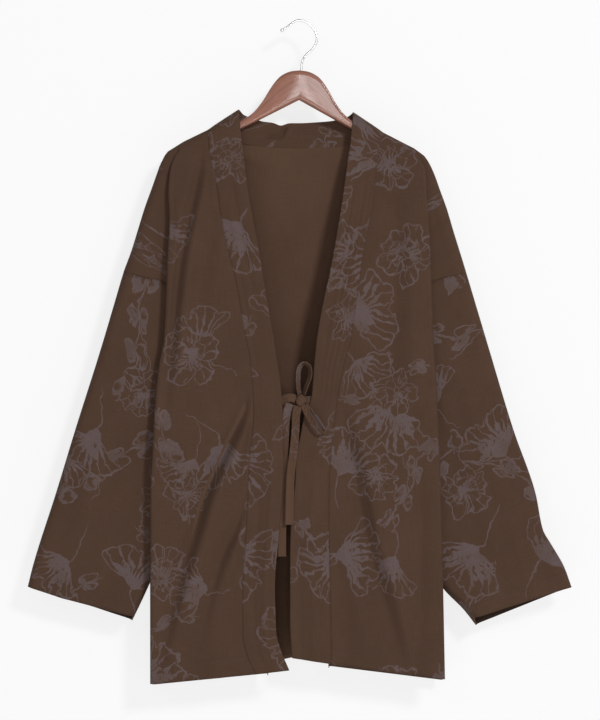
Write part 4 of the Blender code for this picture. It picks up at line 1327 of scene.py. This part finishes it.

# %% [markdown]
# ## The ties and their bow
#
# Two narrow strips of the same cloth are sewn into the band's free edges and tied in a bow: one loop
# stands up, the other hangs to the wearer's left, and two tails hang down. A strip keeps its width while
# it bends, so each is laid along a route of given points, and its direction across is carried from
# point to point. It turns about its own length only where the column "face" says so. A pressed strip is
# never quite flat, so it is slightly crowned, and short slanting wrinkles run over it near the knot.

# %% Where the ties run
TIE_WIDTH = 12
TIE_ROUTES = {    # x, drop, y, face: 0 where the strip faces forward and 90 edge on
    "tie_strap_right": [
        (-31.0, 560, -28.8, 0), (-24.4, 557.2, -29.0, 0), (-20.4, 555.4, -31.6, 0),
        (-16.0, 554, -34.8, 0), (-10.6, 553.4, -37.0, 0), (-4.7, 555.4, -38.2, 0)],
    "tie_strap_left": [
        (21.0, 557.5, -28.9, 0), (15.2, 557.5, -28.9, 0), (12.4, 557.5, -32.0, 0),
        (10.6, 557.5, -36.2, 0)],
    "tie_loop_upper": [
        (1.2, 548.3, -39.0, 62), (-0.6, 538, -40.5, 60), (-1.0, 524, -42.0, 58), (0.8, 510, -42.5, 60),
        (8.0, 503.6, -42.5, 62), (15.2, 509, -42.5, 60), (15.8, 522, -42.0, 58), (10.6, 537, -40.5, 60),
        (6.8, 548.8, -39.0, 62)],
    "tie_loop_lower": [
        (7.8, 563.6, -41.6, 18), (12.4, 576, -44.4, 34), (19.5, 588.5, -45.8, 42), (27.0, 599.5, -45.4, 44),
        (32.0, 604.8, -43.4, 44), (34.8, 605.4, -41.2, 44), (35.0, 602.6, -39.0, 44),
        (31.8, 596.4, -37.6, 44), (24.6, 585.2, -37.0, 44), (17.4, 575.4, -36.9, 40),
        (12.0, 568.4, -36.6, 30)],
    "tie_tail_right": [
        (-13.0, 562.6, -34.0, 0), (-17.0, 574, -30.6, 0), (-19.6, 592, -28.0, 0),
        (-20.8, 616, -27.2, 8), (-22.0, 661, -27.2, 12), (-23.4, 705, -27.2, 8), (-24.6, 745, -27.4, 0),
        (-25.0, 786, -27.6, 0)],
    "tie_tail_left": [
        (-1.4, 565.5, -38.6, 10), (-4.4, 580, -37.2, 14), (-5.2, 600, -36.2, 20), (-8.0, 632, -35.8, 12),
        (-12.0, 664, -35.8, 10), (-13.6, 705, -35.8, 6), (-14.0, 739, -36.0, 0)]}
TIE_CROWN = 0.7           # how far a strip's middle stands above its edges
WRINKLES = {              # node: height, wavelength along the strip, slant, and where they fade out
    "tie_strap_right": (.35, 9, .8, 22), "tie_strap_left": (.3, 8, -.6, 10),
    "tie_loop_upper": (.45, 11, .9, 60), "tie_loop_lower": (.5, 10, 1.3, 70),
    "tie_tail_right": (.45, 14, 1.2, 70), "tie_tail_left": (.75, 13, 1.9, 62)}
TIE_ACROSS = 9            # points across a strip
TIE_CUT_STEP = (61, 47)   # from one strip's place on the print to the next one's, in millimetres


def smooth_route(points, steps):
    """A smooth curve through given points (Catmull-Rom), as tuples."""
    out = []
    for i in range(len(points) - 1):
        before, a = points[max(i - 1, 0)], points[i]
        b, after = points[i + 1], points[min(i + 2, len(points) - 1)]
        for n in range(steps):
            t = n / steps
            out.append(tuple(
                .5 * (2 * q + (r - p) * t + (2 * p - 5 * q + 4 * r - u) * t * t
                      + (3 * q - p - 3 * r + u) * t ** 3)
                for p, q, r, u in zip(before, a, b, after)))
    return out + [tuple(points[-1])]


def tie_sheet(node, steps=8):
    """One strip: points across at each place down its route."""
    points = smooth_route(TIE_ROUTES[node], steps)
    height, wave, slant, fades_at = WRINKLES[node]
    across, face_before, reach = None, 0.0, 0.0
    rows, cuts, marks = [], [], []
    for i, (x, drop, y, face) in enumerate(points):
        ahead, behind = points[min(i + 1, len(points) - 1)], points[max(i - 1, 0)]
        along = (place(*ahead[:3]) - place(*behind[:3])).normalized()
        if i:
            reach += (place(x, drop, y) - place(*behind[:3])).length / MM
        if across is None:
            across = along.cross(Vector((0, 1, 0)))
        across = (across - along * across.dot(along)).normalized()
        across.rotate(Quaternion(along, math.radians(face - face_before)))
        face_before = face
        outward = across.cross(along).normalized()
        row, cut = [], []
        for j in range(TIE_ACROSS):
            share = 2 * j / (TIE_ACROSS - 1) - 1
            w = share * TIE_WIDTH / 2
            stray = noise.noise(Vector((reach / 9, w / 9, 3))) * 2
            wrinkle = math.sin((reach + w * slant) * 2 * math.pi / wave + stray)
            fade = max(1 - reach / fades_at, 0) ** .5 * (1 - share ** 4)
            lift = TIE_CROWN * (1 - share * share) + height * wrinkle * fade
            row.append(place(x, drop, y) + (across * w + outward * lift) * MM)
            cut.append((w, -reach))
        rows.append(row)
        cuts.append(cut)
        marks.append([FAR] * TIE_ACROSS)
    return Sheet(rows, cuts, marks), reach


# %% The ties
tie_cloth = cloth_material("tie_cloth", printed=True, tone=1.3)
ties, tie_lengths = {}, {}
for place_on_cut, node in enumerate(TIE_ROUTES):
    sheet, tie_lengths[node] = tie_sheet(node)
    sheet.cut = [[(u + TIE_CUT_STEP[0] * place_on_cut, v + TIE_CUT_STEP[1] * place_on_cut) for u, v in row]
                 for row in sheet.cut]
    ties[node] = shell(node + "_cloth", sheet, False, tie_cloth, tie_cloth, TIE_WALL)

# %% [markdown]
# The knot is the strip wound once round the two others. Its shape is a rounded barrel, wound from the
# upper right over the front to the lower left of its own axis, and its creases follow the winding.

# %% The knot
KNOT_MIDDLE = (3.0, 557.2, -38.4)
KNOT_RADII = (7.6, 5.0, 9.0)
KNOT_AXIS = Vector((.80, 0, .60))        # the axis that the strip is wound about
KNOT_ROUND, KNOT_ROWS = 48, 26
KNOT_WINDING = 40                        # length of strip in one winding
KNOT_CUT = 300                           # where the knot lies on the print, across
KNOT_CREASES = ((-.45, .10, -.9), (.05, .08, -.6), (.42, .09, -.8), (-.15, .10, .5), (.25, .09, .5))


def knot_sheet():
    wound = Vector((KNOT_AXIS.z, 0, -KNOT_AXIS.x))
    rear = Vector((0, 1, 0))
    rows, cuts, marks = [], [], []
    for i in range(KNOT_ROWS + 1):
        share = math.sin(math.pi * (i / KNOT_ROWS - .5)) * .995
        ring = math.sqrt(1 - share * share)
        row = []
        for j in range(KNOT_ROUND):
            angle = 2 * math.pi * j / KNOT_ROUND
            ray = KNOT_AXIS * share + (rear * math.cos(angle) + wound * math.sin(angle)) * ring
            shift = .12 * math.sin(angle + .6)
            lift = sum(h * math.exp(-((share + shift - at) / half) ** 2) for at, half, h in KNOT_CREASES)
            lift += noise.noise(ray * 2.3) * .5
            point = Vector([c * r for c, r in zip(ray, KNOT_RADII)]) + ray * lift
            row.append(place(*KNOT_MIDDLE) + point * MM)
        rows.append(row)
        reach = reach_round(row + [row[0]])
        cuts.append([(r + KNOT_CUT, share * KNOT_RADII[2]) for r in reach])
        marks.append([FAR] * KNOT_ROUND)
    return Sheet(rows, cuts, marks, around=True)


ties["tie_knot"] = shell("tie_knot_cloth", knot_sheet(), True, tie_cloth, tie_cloth, 0)
close_ends(ties["tie_knot"], KNOT_ROUND)

# %% [markdown]
# ## The hanger
#
# The yoke is sawn from a board, so its outline has two even halves and its arms slope like shoulders. Its
# edges are rounded over and its front is very slightly full. It is modelled as sections along the arm,
# which lets the grain run along each arm as it does in bent or glued wood. Varnish over reddish stain
# gives a clear, fairly sharp reflection on a brown ground.

# %% Varnished wood
WOOD_LIGHT, WOOD_DARK = (0.275, 0.113, 0.074), (0.180, 0.068, 0.041)


def wood_material(name):
    surface, tree, shader = new_surface(name)
    u, v = cut_place(tree)
    wander, _ = grain(u, v, 70, 30)
    bands, _ = grain(u, v + (wander - .5) * 16, 160, 3.2, detail=4.0)
    pores, _ = grain(u, v, 14, .45)
    stain, _ = grain(u, v, 45, 22)
    tone = (bands - .5) * 1.6 + (stain - .5) * 1.0 - pores.passing(.62, .72) * .25 + .5
    tree.links.new(mixed(tree, tone.socket, WOOD_DARK, WOOD_LIGHT), shader.inputs["Base Color"])
    raised(tree, shader, ((bands - .5) * .05 + (stain - .5) * .12).socket)
    rough = (stain - .5) * .12 + .42
    tree.links.new(rough.socket, shader.inputs["Roughness"])
    preset(shader, Specular_IOR_Level=0.3, Coat_Weight=0.5, Coat_Roughness=0.045)
    return surface


varnished_wood = wood_material("varnished_wood")

# %% The yoke's sections
YOKE_THICKNESS = 12
REAR_GRAIN = 40        # how far from the front's grain on the board the rear takes its own
YOKE_ROUNDING = 4.5
YOKE_FULLNESS = 0.08               # how far the front and the rear stand out between the rounded edges
YOKE_TILT = math.radians(1.2)      # it hangs a little lower on the wearer's left
YOKE_PIVOT = (0.5, 95)             # w, drop
YOKE_HALF_TOP = [(0, 72), (14, 74), (27, 80.5), (36, 90), (44, 102), (54, 119), (67, 135.5),
                 (81, 145.5), (105, 155.5), (129, 165.7), (150, 175.7), (167, 184.2), (177, 190), (183, 195)]
YOKE_HALF_UNDER = [(0, 115.8), (40, 137), (81, 158.5), (105, 170.5), (129, 182), (150, 192), (174, 202),
                   (180.5, 203)]
YOKE_TIP = (184, 199.5)
YOKE_STATIONS = 66
TIP_RINGS = (.35, .65, .88, .985)      # shares of the way from the last section to the tip
FACE_POINTS, EDGE_POINTS = 12, 6


def along_outline(points):
    """A function from a share of an outline's length to the point there."""
    fine = [flat(*p) for p in smooth_route(points, 10)]
    reach = [0.0]
    for a, b in zip(fine, fine[1:]):
        reach.append(reach[-1] + (b - a).length)

    def at(share):
        goal = min(max(share, 0), 1) * reach[-1]
        i = min(max(bisect_right(reach, goal) - 1, 0), len(fine) - 2)
        return fine[i].lerp(fine[i + 1], (goal - reach[i]) / (reach[i + 1] - reach[i]))
    return at


def yoke_section(top, under, half):
    """A rounded section as (point in the outline's plane, y): front, under edge, rear, top edge."""
    height = (under - top).length
    radius = min(YOKE_ROUNDING, height * .48, half * .95)
    down = (under - top).normalized()

    def corner(first, a_middle, y_middle):
        return [(a_middle + radius * math.sin(math.radians(angle)),
                 y_middle - radius * math.cos(math.radians(angle)))
                for angle in [first + 90 * i / EDGE_POINTS for i in range(EDGE_POINTS + 1)]]

    ring = corner(270, radius, -half + radius)
    for i in range(1, FACE_POINTS):
        share = i / FACE_POINTS
        ring.append((radius + (height - 2 * radius) * share,
                     -half - YOKE_FULLNESS * math.sin(math.pi * share)))
    ring += corner(0, height - radius, -half + radius) + corner(90, height - radius, half - radius)
    for i in range(1, FACE_POINTS):
        share = i / FACE_POINTS
        ring.append((height - radius - (height - 2 * radius) * share,
                     half + YOKE_FULLNESS * math.sin(math.pi * share)))
    ring += corner(180, radius, half - radius)
    return [(top + down * a, y, a) for a, y in ring]


def yoke_sheet():
    top_at, under_at = along_outline(YOKE_HALF_TOP), along_outline(YOKE_HALF_UNDER)
    half_thickness = YOKE_THICKNESS / 2
    sections = []
    for i in range(YOKE_STATIONS + 1):
        share = i / YOKE_STATIONS
        sections.append((top_at(share), under_at(share), half_thickness))
    top, under, _ = sections[-1]
    tip = flat(*YOKE_TIP)
    for share in TIP_RINGS:
        dome = math.sqrt(1 - share * share)
        middle = top.lerp(under, .5).lerp(tip, share)
        reach = (under - top) / 2 * dome
        sections.append((middle - reach, middle + reach, half_thickness * dome))
    pivot_w, pivot_drop = YOKE_PIVOT
    rows, cuts = [], []
    for side in (RIGHT, LEFT):
        half_rows, half_cuts = [], []
        along, before = 0.0, None
        for top, under, half in sections:
            middle = top.lerp(under, .5)
            along += (middle - before).length if before else 0.0
            before = middle
            row, cut = [], []
            for p, y, a in yoke_section(top, under, half):
                across, down = side * p.x, p.y - pivot_drop
                x = pivot_w + across * math.cos(YOKE_TILT) - down * math.sin(YOKE_TILT)
                drop = pivot_drop + down * math.cos(YOKE_TILT) + across * math.sin(YOKE_TILT)
                row.append(place(x, drop, y))
                cut.append((side * along, a - (under - top).length / 2 + (REAR_GRAIN if y > 0 else 0)))
            half_rows.append(row)
            half_cuts.append(cut + cut[:1])
        if side == RIGHT:
            rows, cuts = list(reversed(half_rows)), list(reversed(half_cuts))
        else:
            rows += half_rows[1:]
            cuts += half_cuts[1:]
    return Sheet(rows, cuts, [[FAR] * len(rows[0]) for _ in rows], around=True)


yoke_grid = yoke_sheet()
yoke = shell("hanger_yoke_wood", yoke_grid, True, varnished_wood, varnished_wood, 0)
close_ends(yoke, len(yoke_grid.points[0]))

# %% [markdown]
# The hook is one length of plated wire, bent round once, with a small bead on its cut end so that it
# can't scratch. It stands in the top of the yoke.

# %% The hook
HOOK_WIRE = 1.8            # radius
HOOK_BEAD = 3.0
HOOK_ROUTE = [(-25, 13), (-18, 8.5), (-11, 3.2), (-4.5, -0.8), (1, -HOOK_WIRE), (7.5, -0.4), (14, 3.4),
              (20.5, 10), (25, 17.5), (26.4, 25), (25, 32.5), (21, 39), (15.5, 44.5), (9.5, 50),
              (6, 56), (4, 63), (3.4, 71.6)]


def metal(name, colour, roughness):
    surface, tree, shader = new_surface(name)
    preset(shader, Base_Color=(*colour, 1), Metallic=1.0)
    spread = Field(tree, object_noise(tree, 260)).passing(.35, .75) * .16 + roughness
    tree.links.new(spread.socket, shader.inputs["Roughness"])
    return surface


def wire(name, points, radius, surface):
    """A round wire along points, as a mesh."""
    curve = bpy.data.curves.new(name + "_route", "CURVE")
    curve.dimensions = "3D"
    spline = curve.splines.new("POLY")
    spline.points.add(len(points) - 1)
    for target, point in zip(spline.points, points):
        target.co = (*point, 1)
    curve.bevel_depth = radius * MM
    curve.bevel_resolution = 6
    curve.use_fill_caps = True
    holder = linked(name + "_route", curve)
    mesh = bpy.data.meshes.new_from_object(holder)
    bpy.data.objects.remove(holder)
    mesh.name = name
    mesh.materials.clear()
    mesh.materials.append(surface)
    return linked(name, mesh)


plated_wire = metal("plated_wire", (.86, .86, .87), .26)
hook = wire("hanger_hook_wire", [place(x, drop, 0) for x, drop in smooth_route(HOOK_ROUTE, 6)],
            HOOK_WIRE, plated_wire)
bm = bmesh.new()
bm.from_mesh(hook.data)
bead = bmesh.ops.create_uvsphere(bm, u_segments=20, v_segments=14, radius=HOOK_BEAD * MM)
bmesh.ops.translate(bm, verts=bead["verts"], vec=place(*HOOK_ROUTE[0], 0))
bm.to_mesh(hook.data)
bm.free()
hook.data.polygons.foreach_set("use_smooth", [True] * len(hook.data.polygons))

# %% [markdown]
# ## Hem stitches
#
# The hems of the body and the cuffs are turned up and sewn with small running stitches of a matching
# thread. A stitch is a short bead of thread that sinks into the cloth at both ends. Geometry Nodes lays
# one on every few millimetres of a line along the hem, so the spacing stays even however the hem waves.

# %% Lines along the hems
def seam_line(sheet, depth, outward, columns):
    """Points on the sheet's outer face, "depth" millimetres above its last row."""
    line_points = []
    rows = sheet.points
    for c in columns:
        reach, r = 0.0, len(rows) - 1
        while reach < depth * MM:
            step = (rows[r][c] - rows[r - 1][c]).length
            reach += step
            r -= 1
        share = (reach - depth * MM) / step
        point = rows[r][c].lerp(rows[r + 1][c], share)
        width = len(rows[r])
        a, b = (c + 1) % width, (c - 1) % width
        if rows[r][a] is None or rows[r + 1][a] is None:
            a = c
        if rows[r][b] is None:
            b = c
        normal = (rows[r + 1][c] - rows[r][c]).cross(rows[r][a] - rows[r][b]).normalized()
        line_points.append(point + normal * (outward * (CLOTH_WALL / 2 + .05) * MM))
    return line_points


# %% One stitch on every pitch
STITCH_LENGTH, STITCH_PITCH, THREAD_RADIUS = 2.4, 3.6, 0.22
THREAD_COLOUR = (0.052, 0.031, 0.023)
STITCH_SEED = 7
STITCH_SCALES = ((.86, .9, .9), (1.1, 1.1, 1.1))     # smallest and largest, along, across and up


def thread_material():
    surface, tree, shader = new_surface("sewing_thread")
    tint = mixed(tree, object_noise(tree, 900), tuple(c * .75 for c in THREAD_COLOUR),
                 tuple(c * 1.35 for c in THREAD_COLOUR))
    tree.links.new(tint, shader.inputs["Base Color"])
    preset(shader, Roughness=0.6, Sheen_Weight=0.15)
    return surface


sewing_thread = thread_material()


def stitch_shape():
    """One stitch along X: a short spindle of thread."""
    mesh = bpy.data.meshes.new("stitch")
    bm = bmesh.new()
    bmesh.ops.create_uvsphere(bm, u_segments=8, v_segments=6, radius=1)
    for vertex in bm.verts:
        x, y, z = vertex.co
        vertex.co = Vector((z * STITCH_LENGTH / 2, x * THREAD_RADIUS * 1.2, y * THREAD_RADIUS)) * MM
    bmesh.ops.recalc_face_normals(bm, faces=bm.faces)
    bm.to_mesh(mesh)
    bm.free()
    mesh.polygons.foreach_set("use_smooth", [True] * len(mesh.polygons))
    return linked("stitch", mesh)


def stitching_tree():
    """Curve from edges, a point on every pitch, a stitch on every point."""
    tree = bpy.data.node_groups.new("running_stitches", "GeometryNodeTree")
    tree.interface.new_socket("Geometry", in_out="INPUT", socket_type="NodeSocketGeometry")
    sockets = {}
    for name, kind in (("Stitch", "NodeSocketObject"), ("Pitch", "NodeSocketFloat"),
                       ("Seed", "NodeSocketInt"), ("Thread", "NodeSocketMaterial")):
        sockets[name] = tree.interface.new_socket(name, in_out="INPUT", socket_type=kind).identifier
    tree.interface.new_socket("Geometry", in_out="OUTPUT", socket_type="NodeSocketGeometry")

    def node(kind, **settings):
        made = tree.nodes.new(kind)
        for key, value in settings.items():
            setattr(made, key, value)
        return made

    start, end = node("NodeGroupInput"), node("NodeGroupOutput")
    curve, spaced = node("GeometryNodeMeshToCurve"), node("GeometryNodeResampleCurve", mode="LENGTH")
    tangent = node("GeometryNodeInputTangent")
    aligned = node("FunctionNodeAlignRotationToVector", axis="X")
    stitch = node("GeometryNodeObjectInfo")
    uneven = node("FunctionNodeRandomValue", data_type="FLOAT_VECTOR")
    preset(uneven, Min=STITCH_SCALES[0], Max=STITCH_SCALES[1])
    laid = node("GeometryNodeInstanceOnPoints")
    real, coloured = node("GeometryNodeRealizeInstances"), node("GeometryNodeSetMaterial")
    for source, output, target, entry in (
            (start, "Geometry", curve, "Mesh"), (curve, "Curve", spaced, "Curve"),
            (start, "Pitch", spaced, "Length"), (spaced, "Curve", laid, "Points"),
            (tangent, "Tangent", aligned, "Vector"), (aligned, "Rotation", laid, "Rotation"),
            (start, "Stitch", stitch, "Object"), (stitch, "Geometry", laid, "Instance"),
            (start, "Seed", uneven, "Seed"), (uneven, "Value", laid, "Scale"),
            (laid, "Instances", real, "Geometry"), (real, "Geometry", coloured, "Geometry"),
            (start, "Thread", coloured, "Material"), (coloured, "Geometry", end, "Geometry")):
        tree.links.new(source.outputs[output], target.inputs[entry])
    return tree, sockets


STITCHING, STITCH_SOCKETS = stitching_tree()
one_stitch = stitch_shape()


def stitches(name, *lines):
    """Running stitches along lines of points, as one mesh object."""
    corners, edges = [], []
    for points in lines:
        edges += [(len(corners) + i, len(corners) + i + 1) for i in range(len(points) - 1)]
        corners += points
    mesh = bpy.data.meshes.new(name + "_lines")
    mesh.from_pydata(corners, edges, [])
    holder = linked(name + "_lines", mesh)
    laid = holder.modifiers.new("stitching", "NODES")
    laid.node_group = STITCHING
    laid[STITCH_SOCKETS["Stitch"]] = one_stitch
    laid[STITCH_SOCKETS["Pitch"]] = STITCH_PITCH * MM
    laid[STITCH_SOCKETS["Seed"]] = STITCH_SEED
    laid[STITCH_SOCKETS["Thread"]] = sewing_thread
    bpy.context.view_layer.update()
    made = bpy.data.meshes.new_from_object(holder.evaluated_get(bpy.context.evaluated_depsgraph_get()))
    bpy.data.objects.remove(holder)
    made.name = name
    print(f"{name}: {len(made.polygons)} faces")
    return linked(name, made)


def hem_columns(sheet):
    """The columns that reach the hem, without the outermost at either side."""
    whole = [c for c, point in enumerate(sheet.points[-1]) if point is not None]
    return whole[1:-1]


hem_stitches = {}
for node, name, grid, outward in (
        ("front_right", "stitches_front_right", front_sheets[RIGHT], -1),
        ("front_left", "stitches_front_left", front_sheets[LEFT], 1),
        ("back_panel", "stitches_back", back_grid, -1)):
    hem_stitches[node] = stitches(name, seam_line(grid, HEM_DEPTH, outward, hem_columns(grid)))
for side, node in ((RIGHT, "sleeve_right"), (LEFT, "sleeve_left")):
    grid = sleeve_sheets[side]
    around = list(range(len(grid.points[0]))) + [0]
    hem_stitches[node] = stitches("stitches_" + node, seam_line(grid, CUFF_HEM_DEPTH, side, around))
bpy.data.objects.remove(one_stitch)

# %% [markdown]
# ## What each piece stands for
#
# Every shell replaces its solid in the frame and rides on the same body. Each panel, each sleeve and the
# band also prints the size that it was cut to: the reach of its flat places across and down, and its own
# area where the cut is not a rectangle. The band counts as it shows, folded double. The whole cut is twice as
# wide.

# %% Riding, replacing and the flat sizes
cloth_pieces = {
    "front_right": (fronts[RIGHT], front_sheets[RIGHT], "brown_cloth"),
    "front_left": (fronts[LEFT], front_sheets[LEFT], "brown_cloth"),
    "back_panel": (back, back_grid, "brown_cloth"),
    "sleeve_right": (sleeves[RIGHT], sleeve_sheets[RIGHT], "brown_cloth"),
    "sleeve_left": (sleeves[LEFT], sleeve_sheets[LEFT], "brown_cloth"),
    "collar_band": (collar, collar_sheet, "band_cloth")}


def flat_size(sheet):
    """Width and length of the smallest upright rectangle round the cut, in metres."""
    laid_out = [cut for row, cut_row in zip(sheet.points, sheet.cut)
                for point, cut in zip(row, cut_row) if point is not None]
    return tuple((max(c[i] for c in laid_out) - min(c[i] for c in laid_out)) * MM for i in (0, 1))


for node, (piece, grid, slot_name) in cloth_pieces.items():
    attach(piece, "root")
    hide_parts(node)
    if node in hem_stitches:
        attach(hem_stitches[node], "root")
    width, length = flat_size(grid)
    if node == "collar_band":
        width, area = BAND_WIDTH, None
    else:
        area = min(grid.area(), width * length)
    print(f"{node}: cut {width:.3f} x {length:.3f} m, area {area or width * length:.4f}")

for node, piece in ties.items():
    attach(piece, "root")
    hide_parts(node)
    length = KNOT_WINDING if node == "tie_knot" else tie_lengths[node]
    round(length * MM, 3)
    (["collar_band" if "strap" in node else "tie_knot"] if node != "tie_knot"
             else ["tie_strap_right", "tie_strap_left"])

for piece, node, slot_name in ((yoke, "hanger_yoke", "varnished_wood"), (hook, "hanger_hook", "hook_wire")):
    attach(piece, "root")
    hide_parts(node)

# %% [markdown]
# ## The room
#
# The jacket hangs in front of a wall that is pale mostly by its own glow. The main light stands to the
# right, in front and above, so the left flank of a standing fold is the dark one. A weak light fills from
# the left, and a low one in front reaches into the opening. The wall shows its front only: seen from
# behind it is clear, so the jacket's back can be looked at too, and a light behind it reaches the cloth.
# Two narrow tall lights in front give the varnish its upright highlight.

# %% Wall and floor
WALL_Y, WALL_HALF, WALL_TOP, FLOOR_Z, FLOOR_FRONT = 0.052, 4.0, 2.6, -1.45, -6.0
WALL_COLOUR = (0.16, 0.16, 0.16)
WALL_GLOW = 0.78


def plaster(name, one_sided):
    surface, tree, shader = new_surface(name)
    preset(shader, Base_Color=(*WALL_COLOUR, 1), Roughness=0.9, Specular_IOR_Level=0.1,
           Emission_Color=(1, 1, 1, 1), Emission_Strength=WALL_GLOW)
    if one_sided:
        side_seen = tree.nodes.new("ShaderNodeNewGeometry")
        clear = tree.nodes.new("ShaderNodeBsdfTransparent")
        either = tree.nodes.new("ShaderNodeMixShader")
        tree.links.new(side_seen.outputs["Backfacing"], either.inputs["Fac"])
        tree.links.new(shader.outputs[0], either.inputs[1])
        tree.links.new(clear.outputs[0], either.inputs[2])
        tree.links.new(either.outputs[0], tree.nodes["Material Output"].inputs["Surface"])
    return surface


def slab(name, corners, surface):
    mesh = bpy.data.meshes.new(name)
    mesh.from_pydata(corners, [], [(0, 1, 2, 3)])
    mesh.materials.append(surface)
    return linked(name, mesh)


wall = slab("wall", [(-WALL_HALF, WALL_Y, FLOOR_Z), (WALL_HALF, WALL_Y, FLOOR_Z),
                     (WALL_HALF, WALL_Y, WALL_TOP), (-WALL_HALF, WALL_Y, WALL_TOP)],
            plaster("wall_paint", True))
wall.visible_shadow = False
floor = slab("floor", [(-WALL_HALF, FLOOR_FRONT, FLOOR_Z), (WALL_HALF, FLOOR_FRONT, FLOOR_Z),
                       (WALL_HALF, -FLOOR_FRONT, FLOOR_Z), (-WALL_HALF, -FLOOR_FRONT, FLOOR_Z)],
             plaster("floor_paint", False))

# %% Lights
LIGHTS = [   # name, place, aimed at, width, height, watts
    ("right", (2.15, -4.35, 1.75), (0, 0, -.45), .76, .76, 168),
    ("left", (-1.3, -3.3, .9), (0, 0, -.45), .8, .8, 11),
    ("front", (0, -4.4, -.6), (0, 0, -.5), 1.0, 1.0, 30),
    ("upright", (.009, -3.4, .27), (0, 0, -.1), .035, .40, .75),
    ("beside", (.11, -3.4, .27), (0, 0, -.1), .15, .40, 2.0),
    ("behind", (.6, 3.2, .8), (0, 0, -.5), 2.6, 2.6, 40)]
WORLD_STRENGTH = 0.09

for name, spot, aim, width, height, watts in LIGHTS:
    lamp = bpy.data.lights.new(name, "AREA")
    lamp.shape = "RECTANGLE"
    lamp.size, lamp.size_y, lamp.energy = width, height, watts
    holder = linked(name, lamp)
    holder.location = spot
    holder.rotation_euler = (Vector(aim) - Vector(spot)).to_track_quat("-Z", "Y").to_euler()

bpy.context.scene.view_settings.view_transform = "Standard"
world = bpy.data.worlds.new("soft_room")
bpy.context.scene.world = world
world.use_nodes = True
preset(world.node_tree.nodes["Background"], Color=(1, 1, 1, 1), Strength=WORLD_STRENGTH)

# %% The camera, square on at the height of the bow
CAMERA_PLACE, CAMERA_LENS = (0.0015, -3.5, -0.4986), 118.8
camera_data = bpy.data.cameras.new("camera")
camera_data.lens = CAMERA_LENS
camera = linked("camera", camera_data)
camera.location = CAMERA_PLACE
camera.rotation_euler = (math.pi / 2, 0, 0)
bpy.context.scene.camera = camera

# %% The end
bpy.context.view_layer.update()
